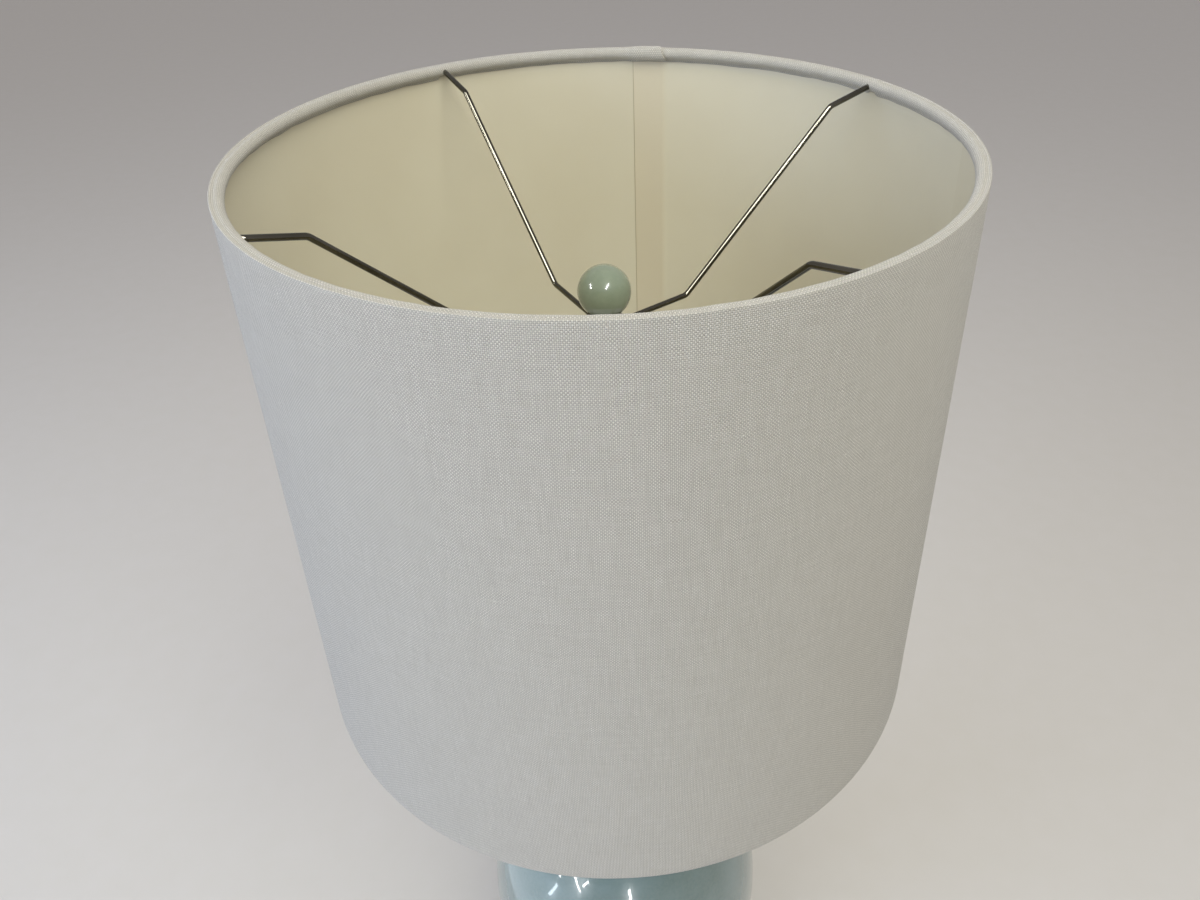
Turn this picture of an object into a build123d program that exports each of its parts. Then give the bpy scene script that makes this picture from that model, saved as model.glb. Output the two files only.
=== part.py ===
from build123d import *
import os
from math import acos, cos, radians, sin, sqrt, tan

# Ginger jar table lamp: a glazed jar on a turned base, a harp and a four-armed drum shade.
# Millimetres. The lamp stands on z = 0 with its axis on Z, and its front faces -Y.

# ---- Shade -------------------------------------------------------------------------
RIM_Z = 790.0               # height of the rim's top above the table
SHADE_DROP = 304.8          # rim's top to the bottom edge
RIM_R = 165.1               # outer radius at the rim's top
HEM_R = 177.8               # outer radius at the bottom edge
RIM_ROLL_R = 3.03           # section radius of the rolled rim
HEM_ROLL_R = 2.9            # section radius of the turned-under hem
CLOTH = 0.7                 # fabric thickness
LINER = 0.7                 # styrene thickness
TOP_WIRE_R = 1.7
BOTTOM_WIRE_R = 1.5
WIRE_EASE = 0.02            # wire to lining
RIM_CORNER_R = 0.5          # outer corner of the rim, where the fabric folds over
LAP_THICK = 0.5             # second layer of lining at the seam
LAP_FROM_DEG = 75.6         # seam lap at the back, from its soft edge to its sharp edge
LAP_TO_DEG = 82.2
CLOTH_LAP_DEG = 3.4         # outside seam of the fabric, above the same place
CLOTH_LAP_RISE = 0.35       # how far that seam stands out of the wall
SEAM_CLEAR = 0.3            # seams stop this far short of the rim and the hem

# ---- Spider ------------------------------------------------------------------------
ARM_WIRE_R = 1.45
ARM_ANGLES = {"back_left": 122.4, "back_right": 29.0, "front_right": -57.6, "front_left": -146.6}
ARM_DROP = [(161.2, -3.0), (135.5, -9.0), (49.2, -91.0), (9.5, -94.3)]   # radius, height from rim
ARM_BEND_R = 5.0
HUB_R = 13.0
HUB_BOTTOM = -96.1          # from the rim
HUB_TOP = -92.5
HUB_HOLE_R = 3.26

# ---- Finial ------------------------------------------------------------------------
BALL_R = 13.4
BALL_Z = -75.0              # from the rim
COLLAR_R = 7.6
COLLAR_NECK_R = 5.6
COLLAR_SHANK_R = 4.8
COLLAR_BORE_R = 3.25
COLLAR_FLANGE = 2.0
COLLAR_SHANK_TOP = 9.0      # shank's end above the ball's lowest point
COLLAR_CONE = 0.8
COLLAR_ROOF = 1.0

# ---- Harp --------------------------------------------------------------------------
HARP_WIRE_R = 1.4
HARP_LEG_X = 28.6
HARP_HALF = [(28.6, 530.0), (56.0, 585.0), (59.0, 640.0), (40.0, 688.0)]  # corners, x and height
HARP_BENDS = [35.0, 60.0, 60.0, 22.0]
STUD_R = 3.17
STUD_LENGTH = 14.5          # above the seat
STUD_FLANGE_R = 9.0
STUD_FLANGE = 3.2
STUD_BLOCK_R = 6.4
STUD_BLOCK = 9.4            # seat to the block's underside
STUD_EDGE = 0.7

# ---- Saddle and ferrules -----------------------------------------------------------
SADDLE_Z = 486.0
SADDLE_THICK = 1.6
SADDLE_WIDTH = 13.0
SADDLE_FLAT_X = 13.5        # end of the flat middle
SADDLE_EAR_X = 22.0         # start of the raised ear
SADDLE_END_X = 32.6
SADDLE_RISE = 6.0
TONGUE_X = 25.6             # inner face of the upright tongue
TONGUE_THICK = 1.6
TONGUE_WIDTH = 4.0
TONGUE_HEIGHT = 11.5
FERRULE_R = 3.9
FERRULE_BORE_R = 3.05
FERRULE_FOOT_R = 4.6
FERRULE_LENGTH = 12.4
FERRULE_OFFSET = 0.8        # ferrule's axis, inside the leg's
FERRULE_FOOT = 1.4          # height of the flared foot
FERRULE_FLARE = 1.8         # height of the curve above it

# ---- Socket ------------------------------------------------------------------------
CAP_HUB_R = 7.6
CAP_HUB_HEIGHT = 6.0
CAP_SCREW_R = 1.5
CAP_SCREW_Z = 3.0           # from the cap's foot
CAP_SCREW_HEAD = 1.4        # how far it stands out of the hub
CAP_RIM_HEIGHT = 7.0        # straight rim that grips the shell
SHELL_INSERT = 6.0          # shell inside the cap
CAP_R = 19.8
CAP_WALL = 0.9
CAP_HEIGHT = 25.0
SHELL_R = 18.9
SHELL_WALL = 0.6
SHELL_TOP_Z = 557.0
CARD_WALL = 0.8
CORE_R = 17.5
CORE_FLAT_X = 13.2          # flats for the binding screws
CORE_FLAT_HEIGHT = 9.0
CORE_TOP_Z = 521.0
CORE_NECK_HEIGHT = 3.0
SCREW_SHELL_R = 14.0
SCREW_SHELL_WALL = 0.5
SCREW_SHELL_TOP_Z = 551.0
CONTACT_R = 4.2
CONTACT_HEIGHT = 2.4
SLOT_WIDTH = 0.6            # screwdriver slots
SWITCH_Z = 516.4
SWITCH_SHAFT_R = 2.0
SWITCH_FIT = 0.05
SWITCH_SHAFT_IN = 8.0       # shaft's inner end, from the lamp's axis
SWITCH_WINDOW_R = 3.2
KNOB_IN = 24.0
KNOB_OUT = 39.0
KNOB_R = 6.4
KNOB_FLUTES = 14
KNOB_FLUTE_R = 0.8

# ---- Bulb --------------------------------------------------------------------------
BULB_CAP_R = 13.2
BULB_CAP_TOP_Z = 551.0
BULB_NECK_R = 14.6
BULB_R = 30.0
BULB_TOP_Z = 631.0
BULB_THREADS = 5
BULB_CAP_LOW_Z = 528.5
BULB_CAP_INNER_R = 9.0
BULB_STEM_INNER_R = 7.6
BULB_STEM_LOW_Z = 533.0
BULB_GLASS = 1.0
BULB_NECK_RISE = 4.0        # cap's top to the start of the pear curve

# ---- Column ------------------------------------------------------------------------
PIPE_R = 4.75
PIPE_BORE_R = 3.2
PIPE_BOTTOM_Z = 5.5
PIPE_TOP_Z = 494.0
PIPE_HOLE_R = 5.0           # clearance holes for the pipe
GASKET = 1.5
VASE_CAP_R = 27.0
VASE_CAP_HEIGHT = 13.0
VASE_CAP_TOP_R = 10.5
VASE_CAP_SKIRT = 2.6        # rim below the gasket's top
VASE_CAP_BEAD_R = 0.9
SPINDLE_FOOT_R = 10.0
SPINDLE_FOOT = 3.0
SPINDLE_BEAD_R = 15.5
SPINDLE_BEAD = 18.0         # height of the ball bead
SPINDLE_WAIST_R = 7.6
SPINDLE_TOP_R = 12.0
CHECK_RING_Z = 474.0
CHECK_RING_R = 16.0
CHECK_RING_HEIGHT = 5.0
RISER_R = 8.0

# ---- Jar and lid -------------------------------------------------------------------
JAR_FOOT_Z = 38.0
JAR_FOOT_R = 63.0
JAR_WAIST_Z = 44.0
JAR_R = 108.8               # widest radius
JAR_WIDEST_Z = 162.0
SHOULDER_RISE = 185.0       # height of the ellipse that the shoulder follows
JAR_NECK_R = 50.0
JAR_NECK_TOP_Z = 346.0
JAR_WALL = 5.5
LID_R = 57.5
LID_SKIRT_Z = 327.4
LID_DOME_Z = 350.0
LID_DOME_RISE = 40.0
LID_TOP_R = 18.0
LID_WALL = 5.0
NECK_GAP = 1.4              # collar to the inside of the lid's skirt
JAR_RIM_R = 1.6             # rounded lip of the collar
JAR_FLOOR = 3.5             # hollow under the foot
LID_LEDGE = 5.0             # ledge that sits on the collar
LID_EDGE = 1.2              # rounded lower edge of the skirt
JAR_HOLE_R = 6.0            # holes in jar and lid for the pipe

# ---- Base --------------------------------------------------------------------------
FELT = 2.0
BASE_R = 86.0
BASE_RECESS_R = 64.0
BASE_RECESS_TOP_Z = 16.0
INLET_Z = 10.5
INLET_R = 3.5
BUSHING_R = 6.0
BUSHING_FLANGE_R = 7.5
BUSHING_FLANGE = 2.5
WEIGHT_OUTER_R = 61.0
WEIGHT_INNER_R = 22.0
WEIGHT_BOTTOM_Z = 4.5
WEIGHT_GROOVE = 11.0
NUT_FLATS = 16.0
NUT_HEIGHT = 6.0
WASHER_R = 19.0
WASHER_THICK = 2.0
BASE_EDGE = 1.5
GROOVE_CLEAR = 0.9


def turned(*edges):
    """A solid of revolution about the lamp's axis, from a closed outline of (radius, height)."""
    return revolve(Plane.XZ * make_face(list(edges)), Axis.Z)


def ring_section(outer, inner, low, high):
    """A plain turned ring."""
    return turned(Polyline((inner, low), (outer, low), (outer, high), (inner, high), close=True))


def disc(radius, low, high):
    """A plain turned disc."""
    return Pos(0, 0, low) * Cylinder(radius, high - low, align=(Align.CENTER, Align.CENTER, Align.MIN))


def torus(ring_r, height, wire_r):
    """A round wire bent to a ring."""
    return Pos(0, 0, height) * Torus(ring_r, wire_r)


def bent_wire(corners, bends, wire_r):
    """A round wire along straight runs joined by tangent arcs."""
    path = FilletPolyline(*corners, radius=bends)
    start = Plane(origin=path @ 0, z_dir=path % 0)
    return sweep(start * Circle(wire_r), path=path)


def hexagon_nut(flats, bore_r, low, height):
    """A hexagon nut with both faces chamfered on its corners."""
    body = Pos(0, 0, low) * extrude(RegularPolygon(flats / 2, 6, major_radius=False), height)
    corner_r = flats / 2 / cos(radians(30))
    edge = (corner_r - flats / 2) * 0.9         # a little short of the flats
    rounded = turned(Polyline((0, low), (corner_r - edge, low), (corner_r, low + edge / 2),
                              (corner_r, low + height - edge / 2), (corner_r - edge, low + height),
                              (0, low + height), close=True))
    return (body & rounded) - disc(bore_r, low, low + height)


# ---- Base pieces -------------------------------------------------------------------
def felt_pad():
    return disc(BASE_R - BASE_EDGE, 0, FELT)


def base_blank():
    """The turned base without the cord inlet: foot, ovolo, cove and top bead."""
    foot_top = 18.0
    ovolo = 6.0
    step_r = BASE_R - ovolo - BASE_EDGE
    cove = 6.5
    cove_r = step_r - cove
    cove_top = foot_top + ovolo + BASE_EDGE + cove
    lip_z = JAR_FOOT_Z + 2.0
    bead_r = (lip_z - cove_top) / 2
    seat_r = JAR_FOOT_R + BASE_EDGE
    return turned(
        Line((BASE_RECESS_R, FELT), (BASE_R - BASE_EDGE, FELT)),
        Line((BASE_R - BASE_EDGE, FELT), (BASE_R, FELT + BASE_EDGE)),
        Line((BASE_R, FELT + BASE_EDGE), (BASE_R, foot_top)),
        ThreePointArc((BASE_R, foot_top),
                      (BASE_R - ovolo * (1 - sqrt(0.5)), foot_top + ovolo * sqrt(0.5)),
                      (BASE_R - ovolo, foot_top + ovolo)),
        Line((BASE_R - ovolo, foot_top + ovolo), (step_r, foot_top + ovolo)),
        Line((step_r, foot_top + ovolo), (step_r, cove_top - cove)),
        ThreePointArc((step_r, cove_top - cove),
                      (step_r - cove * sqrt(0.5), cove_top - cove * sqrt(0.5)),
                      (cove_r, cove_top)),
        ThreePointArc((cove_r, cove_top), (cove_r + bead_r, cove_top + bead_r), (cove_r, lip_z)),
        Line((cove_r, lip_z), (seat_r + 1.0, lip_z)),
        Line((seat_r + 1.0, lip_z), (seat_r, lip_z - 1.0)),
        Line((seat_r, lip_z - 1.0), (seat_r, JAR_FOOT_Z)),
        Line((seat_r, JAR_FOOT_Z), (PIPE_HOLE_R, JAR_FOOT_Z)),
        Line((PIPE_HOLE_R, JAR_FOOT_Z), (PIPE_HOLE_R, BASE_RECESS_TOP_Z)),
        Line((PIPE_HOLE_R, BASE_RECESS_TOP_Z), (BASE_RECESS_R, BASE_RECESS_TOP_Z)),
        Line((BASE_RECESS_R, BASE_RECESS_TOP_Z), (BASE_RECESS_R, FELT)),
    )


def along_back(radius, near, far, height):
    """A round bar along +Y, between two distances from the lamp's axis."""
    bar = Cylinder(radius, far - near, align=(Align.CENTER, Align.CENTER, Align.MIN))
    return Plane(origin=(0, near, height), z_dir=(0, 1, 0)) * bar


def wood_base():
    return base_blank() - along_back(BUSHING_R, BASE_RECESS_R - 6.0, BASE_R + 1.0, INLET_Z)


def cord_bushing():
    """Flanged sleeve in the inlet: its flange seats on the round edge of the base."""
    start = BASE_RECESS_R - 1.0
    face = BASE_R + BUSHING_FLANGE
    sleeve = along_back(BUSHING_R, start, BASE_R, INLET_Z)
    flange = along_back(BUSHING_FLANGE_R, BASE_R - 1.0, face, INLET_Z)
    flange = chamfer(flange.edges().group_by(Axis.Y)[-1], 0.8)
    body = sleeve + (flange - disc(BASE_R, 0, JAR_FOOT_Z))
    return body - along_back(INLET_R, start - 1.0, face + 1.0, INLET_Z)


def base_weight():
    """Cast ring under the jar, with a groove for the cord on its way to the pipe."""
    ring = turned(Polyline((WEIGHT_INNER_R, WEIGHT_BOTTOM_Z), (WEIGHT_OUTER_R - 2.0, WEIGHT_BOTTOM_Z),
                           (WEIGHT_OUTER_R, WEIGHT_BOTTOM_Z + 2.0), (WEIGHT_OUTER_R, BASE_RECESS_TOP_Z),
                           (WEIGHT_INNER_R, BASE_RECESS_TOP_Z), close=True))
    groove_top = INLET_Z + INLET_R + GROOVE_CLEAR
    groove = Pos(0, WEIGHT_OUTER_R / 2, (groove_top + FELT) / 2) * Box(
        WEIGHT_GROOVE, WEIGHT_OUTER_R + 2.0, groove_top - FELT)
    return ring - groove


def base_washer():
    return ring_section(WASHER_R, PIPE_HOLE_R, BASE_RECESS_TOP_Z - WASHER_THICK, BASE_RECESS_TOP_Z)


def base_nut():
    low = BASE_RECESS_TOP_Z - WASHER_THICK - NUT_HEIGHT
    return hexagon_nut(NUT_FLATS, PIPE_R, low, NUT_HEIGHT)


def lamp_pipe():
    return ring_section(PIPE_R, PIPE_BORE_R, PIPE_BOTTOM_Z, PIPE_TOP_Z)


# ---- Jar ---------------------------------------------------------------------------
def dome_height(reach, rise, radius):
    """Rise of a dome's quarter-ellipse at a radius."""
    return rise * sqrt(1 - (radius / reach) ** 2)


def dome_curve(reach, rise, stop_r, base_z):
    """Quarter-ellipse from a vertical side up and in to the stop radius, as one cubic."""
    turn = acos(stop_r / reach)
    pull = 4 / 3 * tan(turn / 4)
    end_z = base_z + dome_height(reach, rise, stop_r)
    return Bezier((reach, base_z), (reach, base_z + pull * rise),
                  (stop_r + pull * reach * sin(turn), end_z - pull * rise * cos(turn)),
                  (stop_r, end_z))


def jar_side(inset):
    """The jar's flank and shoulder, from its foot to its neck, at an inset from the glaze."""
    reach = JAR_R - inset
    rise = SHOULDER_RISE - inset
    neck_r = JAR_NECK_R - inset
    foot = (JAR_FOOT_R - 1.5 - inset, JAR_WAIST_Z + inset * 0.6)
    flank = Bezier(foot, (foot[0] + 11.0, foot[1] + 32.0), (reach, JAR_WIDEST_Z - 52.0),
                   (reach, JAR_WIDEST_Z))
    shoulder = dome_curve(reach, rise, neck_r, JAR_WIDEST_Z)
    return foot, flank, shoulder, (neck_r, JAR_WIDEST_Z + dome_height(reach, rise, neck_r))


def jar_body():
    """Thrown jar: turned foot ring, full flank, short collar that the lid caps."""
    foot, flank, shoulder, neck = jar_side(0)
    inner_foot, inner_flank, inner_shoulder, inner_neck = jar_side(JAR_WALL)
    floor_z = inner_foot[1]
    foot_inner_r = JAR_FOOT_R - 6.0
    hollow_z = JAR_FOOT_Z + JAR_FLOOR
    return turned(
        Line((foot_inner_r, JAR_FOOT_Z), (JAR_FOOT_R - 1.0, JAR_FOOT_Z)),
        Line((JAR_FOOT_R - 1.0, JAR_FOOT_Z), (JAR_FOOT_R, JAR_FOOT_Z + 1.0)),
        Line((JAR_FOOT_R, JAR_FOOT_Z + 1.0), (JAR_FOOT_R, JAR_WAIST_Z - 1.5)),
        Line((JAR_FOOT_R, JAR_WAIST_Z - 1.5), foot),
        flank,
        shoulder,
        Line(neck, (JAR_NECK_R, JAR_NECK_TOP_Z - JAR_RIM_R)),
        ThreePointArc((JAR_NECK_R, JAR_NECK_TOP_Z - JAR_RIM_R), (JAR_NECK_R - JAR_RIM_R, JAR_NECK_TOP_Z),
                      (JAR_NECK_R - 2 * JAR_RIM_R, JAR_NECK_TOP_Z - JAR_RIM_R)),
        Line((JAR_NECK_R - 2 * JAR_RIM_R, JAR_NECK_TOP_Z - JAR_RIM_R), inner_neck),
        inner_shoulder,
        inner_flank,
        Line(inner_foot, (JAR_HOLE_R, floor_z)),
        Line((JAR_HOLE_R, floor_z), (JAR_HOLE_R, hollow_z)),
        Line((JAR_HOLE_R, hollow_z), (foot_inner_r - 2.0, hollow_z)),
        Line((foot_inner_r - 2.0, hollow_z), (foot_inner_r, JAR_FOOT_Z)),
    )


def lid_top_z():
    return LID_DOME_Z + dome_height(LID_R, LID_DOME_RISE, LID_TOP_R)


def jar_lid():
    """Cap lid: straight skirt over the jar's collar, ledge that sits on it, domed top."""
    inner_r = JAR_NECK_R + NECK_GAP
    top_z = lid_top_z()
    under_r = JAR_NECK_R - LID_LEDGE
    under_rise = LID_DOME_RISE - LID_WALL
    under_z = JAR_NECK_TOP_Z + 1.0
    under_top_z = under_z + dome_height(under_r, under_rise, LID_TOP_R)
    return turned(
        Line((inner_r, LID_SKIRT_Z), (LID_R - LID_EDGE, LID_SKIRT_Z)),
        ThreePointArc((LID_R - LID_EDGE, LID_SKIRT_Z),
                      (LID_R - LID_EDGE * (1 - sqrt(0.5)), LID_SKIRT_Z + LID_EDGE * (1 - sqrt(0.5))),
                      (LID_R, LID_SKIRT_Z + LID_EDGE)),
        Line((LID_R, LID_SKIRT_Z + LID_EDGE), (LID_R, LID_DOME_Z)),
        dome_curve(LID_R, LID_DOME_RISE, LID_TOP_R, LID_DOME_Z),
        Line((LID_TOP_R, top_z), (JAR_HOLE_R, top_z)),
        Line((JAR_HOLE_R, top_z), (JAR_HOLE_R, under_top_z)),
        Line((JAR_HOLE_R, under_top_z), (LID_TOP_R, under_top_z)),
        dome_curve(under_r, under_rise, LID_TOP_R, under_z),
        Line((under_r, under_z), (under_r, JAR_NECK_TOP_Z)),
        Line((under_r, JAR_NECK_TOP_Z), (inner_r, JAR_NECK_TOP_Z)),
        Line((inner_r, JAR_NECK_TOP_Z), (inner_r, LID_SKIRT_Z)),
    )


# ---- Column ------------------------------------------------------------------------
def cap_gasket():
    top_z = lid_top_z()
    return ring_section(LID_TOP_R - 1.0, PIPE_HOLE_R, top_z, top_z + GASKET)


def vase_cap():
    """Spun cap: ogee rising from a thin beaded rim to the spindle's seat."""
    seat_z = lid_top_z() + GASKET
    rim_z = seat_z - VASE_CAP_SKIRT
    bead_top_z = rim_z + 2 * VASE_CAP_BEAD_R
    top_z = seat_z + VASE_CAP_HEIGHT
    under_r = LID_TOP_R + 5.5
    return turned(
        Line((under_r, rim_z), (VASE_CAP_R, rim_z)),
        ThreePointArc((VASE_CAP_R, rim_z), (VASE_CAP_R + VASE_CAP_BEAD_R, rim_z + VASE_CAP_BEAD_R),
                      (VASE_CAP_R, bead_top_z)),
        Bezier((VASE_CAP_R, bead_top_z), (VASE_CAP_R - 9.0, bead_top_z + 0.6),
               (VASE_CAP_TOP_R + 1.5, top_z - 7.0), (VASE_CAP_TOP_R, top_z)),
        Line((VASE_CAP_TOP_R, top_z), (PIPE_HOLE_R, top_z)),
        Line((PIPE_HOLE_R, top_z), (PIPE_HOLE_R, seat_z)),
        Line((PIPE_HOLE_R, seat_z), (under_r, seat_z)),
        Line((under_r, seat_z), (under_r, rim_z)),
    )


def neck_spindle():
    """Turned neck: ball bead at the foot, slender waist, cup under the check ring."""
    low = lid_top_z() + GASKET + VASE_CAP_HEIGHT
    bead_low = low + SPINDLE_FOOT
    bead_high = bead_low + SPINDLE_BEAD
    neck_low = bead_high + 2.0
    return turned(
        Line((PIPE_HOLE_R, low), (SPINDLE_FOOT_R, low)),
        Line((SPINDLE_FOOT_R, low), (SPINDLE_FOOT_R, bead_low)),
        ThreePointArc((SPINDLE_FOOT_R, bead_low), (SPINDLE_BEAD_R, (bead_low + bead_high) / 2),
                      (SPINDLE_FOOT_R, bead_high)),
        Line((SPINDLE_FOOT_R, bead_high), (SPINDLE_FOOT_R, neck_low)),
        Spline((SPINDLE_FOOT_R, neck_low), (SPINDLE_WAIST_R, neck_low + 17.0),
               (SPINDLE_WAIST_R + 1.4, CHECK_RING_Z - 10.0), (SPINDLE_TOP_R, CHECK_RING_Z),
               tangents=[(-0.6, 1), (0.6, 1)]),
        Line((SPINDLE_TOP_R, CHECK_RING_Z), (PIPE_HOLE_R, CHECK_RING_Z)),
        Line((PIPE_HOLE_R, CHECK_RING_Z), (PIPE_HOLE_R, low)),
    )


def check_ring():
    half = CHECK_RING_HEIGHT / 2
    middle = CHECK_RING_Z + half
    return turned(
        Line((PIPE_HOLE_R, CHECK_RING_Z), (CHECK_RING_R - half, CHECK_RING_Z)),
        ThreePointArc((CHECK_RING_R - half, CHECK_RING_Z), (CHECK_RING_R, middle),
                      (CHECK_RING_R - half, middle + half)),
        Line((CHECK_RING_R - half, middle + half), (PIPE_HOLE_R, middle + half)),
        Line((PIPE_HOLE_R, middle + half), (PIPE_HOLE_R, CHECK_RING_Z)),
    )


def riser_tube():
    """Short smooth tube between the check ring and the saddle."""
    return ring_section(RISER_R, PIPE_HOLE_R, CHECK_RING_Z + CHECK_RING_HEIGHT, SADDLE_Z)


# ---- Saddle, harp and ferrules -----------------------------------------------------
def harp_saddle():
    """Bent strap with a hole for the pipe, two raised ears and their upright tongues."""
    ear_z = SADDLE_Z + SADDLE_RISE
    corners = [(-SADDLE_END_X, ear_z), (-SADDLE_EAR_X, ear_z), (-SADDLE_FLAT_X, SADDLE_Z),
               (SADDLE_FLAT_X, SADDLE_Z), (SADDLE_EAR_X, ear_z), (SADDLE_END_X, ear_z)]
    above = [(x, z + SADDLE_THICK) for x, z in reversed(corners)]
    side = Plane.XZ * make_face(Polyline(*corners, *above, close=True))
    strap = extrude(side, SADDLE_WIDTH / 2, both=True)
    plan = SlotOverall(2 * SADDLE_END_X, SADDLE_WIDTH)
    strap = strap & (Pos(0, 0, SADDLE_Z - 1.0) * extrude(plan, SADDLE_RISE + 5.0))
    tongue = Box(TONGUE_THICK, TONGUE_WIDTH, TONGUE_HEIGHT, align=(Align.MIN, Align.CENTER, Align.MIN))
    tongue = Pos(TONGUE_X, 0, ear_z + SADDLE_THICK) * tongue
    strap = strap + tongue + mirror(tongue, Plane.YZ)
    return strap - disc(PIPE_HOLE_R, SADDLE_Z - 1.0, SADDLE_Z + SADDLE_THICK + 1.0)


def ear_top_z():
    return SADDLE_Z + SADDLE_RISE + SADDLE_THICK


def harp_wire():
    """One wire: up from the left ear, out and round over the bulb, down to the right ear."""
    right = [(HARP_LEG_X, ear_top_z()), *HARP_HALF]
    corners = [(-x, 0, z) for x, z in right] + [(x, 0, z) for x, z in reversed(right)]
    return bent_wire(corners, [*HARP_BENDS, *reversed(HARP_BENDS)], HARP_WIRE_R)


def harp_stud():
    """Turned seat that grips the harp's top run, with the finial's stud on it."""
    seat_z = RIM_Z + HUB_BOTTOM
    body = disc(STUD_FLANGE_R, seat_z - STUD_FLANGE, seat_z)
    body = chamfer(body.edges().group_by(Axis.Z)[0], STUD_EDGE)
    body = body + disc(STUD_BLOCK_R, seat_z - STUD_BLOCK, seat_z - STUD_FLANGE)
    stud = disc(STUD_R, seat_z, seat_z + STUD_LENGTH)
    body = body + chamfer(stud.edges().group_by(Axis.Z)[-1], STUD_EDGE)
    run = Plane.YZ * Pos(0, HARP_HALF[-1][1]) * Circle(HARP_WIRE_R)
    return body - extrude(run, STUD_FLANGE_R + 1.0, both=True)


def ferrule(side):
    """Sleeve over a tongue and a harp leg, with a flared foot to lift it by."""
    low = ear_top_z()
    foot_z = low + FERRULE_FOOT
    flare_z = foot_z + FERRULE_FLARE
    high = low + FERRULE_LENGTH
    edge = 0.4
    sleeve = turned(
        Line((FERRULE_BORE_R, low), (FERRULE_FOOT_R, low)),
        Line((FERRULE_FOOT_R, low), (FERRULE_FOOT_R, foot_z)),
        ThreePointArc((FERRULE_FOOT_R, foot_z), (FERRULE_R + 0.1, foot_z + 0.6), (FERRULE_R, flare_z)),
        Line((FERRULE_R, flare_z), (FERRULE_R, high - edge)),
        Line((FERRULE_R, high - edge), (FERRULE_R - edge, high)),
        Line((FERRULE_R - edge, high), (FERRULE_BORE_R, high)),
        Line((FERRULE_BORE_R, high), (FERRULE_BORE_R, low)),
    )
    return Pos(side * (HARP_LEG_X - FERRULE_OFFSET), 0, 0) * sleeve


# ---- Socket ------------------------------------------------------------------------
def cap_low_z():
    return SADDLE_Z + SADDLE_THICK


def socket_cap():
    """Spun cap: threaded hub on the pipe, bell flaring to the rim that grips the shell."""
    low = cap_low_z()
    high = low + CAP_HEIGHT
    hub_top = low + CAP_HUB_HEIGHT
    rim_low = high - CAP_RIM_HEIGHT
    inner_r = CAP_R - CAP_WALL
    roof_z = hub_top + 1.5
    return turned(
        Line((PIPE_R, low), (CAP_HUB_R, low)),
        Line((CAP_HUB_R, low), (CAP_HUB_R, hub_top)),
        Bezier((CAP_HUB_R, hub_top), (CAP_HUB_R + 1.0, hub_top + 7.0),
               (CAP_R, rim_low - 6.0), (CAP_R, rim_low)),
        Line((CAP_R, rim_low), (CAP_R, high)),
        Line((CAP_R, high), (inner_r, high)),
        Line((inner_r, high), (inner_r, rim_low)),
        Bezier((inner_r, rim_low), (inner_r, rim_low - 5.0),
               (CAP_HUB_R + 1.0, hub_top + 8.0), (PIPE_R, roof_z)),
        Line((PIPE_R, roof_z), (PIPE_R, low)),
    ) - cap_screw_bar()


def cap_screw_bar():
    """Space that the set screw fills in the cap's hub."""
    length = CAP_HUB_R + CAP_SCREW_HEAD - PIPE_R
    bar = Cylinder(CAP_SCREW_R, length, align=(Align.CENTER, Align.CENTER, Align.MIN))
    return Plane(origin=(0, PIPE_R, cap_low_z() + CAP_SCREW_Z), z_dir=(0, 1, 0)) * bar


def cap_screw():
    slot = Pos(0, CAP_HUB_R + CAP_SCREW_HEAD, cap_low_z() + CAP_SCREW_Z) * Box(
        SLOT_WIDTH, CAP_SCREW_HEAD, 3 * CAP_SCREW_R)
    return cap_screw_bar() - slot - disc(PIPE_R, cap_low_z(), cap_low_z() + CAP_HUB_HEIGHT)


def switch_window(radius):
    """Round opening towards the front for the switch shaft."""
    bar = Cylinder(radius, CAP_R + 2.0, align=(Align.CENTER, Align.CENTER, Align.MIN))
    return Plane(origin=(0, 0, SWITCH_Z), z_dir=(0, -1, 0)) * bar


def socket_shell():
    """Drawn shell: crimped foot inside the cap, beaded body, rolled mouth, switch window."""
    low = cap_low_z() + CAP_HEIGHT - SHELL_INSERT
    inner_r = SHELL_R - SHELL_WALL
    mouth = 1.1
    bead_z = SHELL_TOP_Z - 16.0
    bead = 1.4
    tube = turned(
        Line((inner_r, low), (SHELL_R, low)),
        Line((SHELL_R, low), (SHELL_R, bead_z - bead)),
        ThreePointArc((SHELL_R, bead_z - bead), (SHELL_R + bead * 0.7, bead_z), (SHELL_R, bead_z + bead)),
        Line((SHELL_R, bead_z + bead), (SHELL_R, SHELL_TOP_Z - 2 * mouth)),
        ThreePointArc((SHELL_R, SHELL_TOP_Z - 2 * mouth), (SHELL_R + mouth, SHELL_TOP_Z - mouth),
                      (SHELL_R, SHELL_TOP_Z)),
        Line((SHELL_R, SHELL_TOP_Z), (inner_r, SHELL_TOP_Z)),
        Line((inner_r, SHELL_TOP_Z), (inner_r, low)),
    )
    return tube - switch_window(SWITCH_WINDOW_R)


def socket_liner():
    """Card sleeve between the shell and the live parts."""
    outer = SHELL_R - SHELL_WALL
    low = cap_low_z() + CAP_HEIGHT - SHELL_INSERT
    tube = ring_section(outer, outer - CARD_WALL, low, SHELL_TOP_Z - 1.0)
    return tube - switch_window(SWITCH_WINDOW_R)


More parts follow.
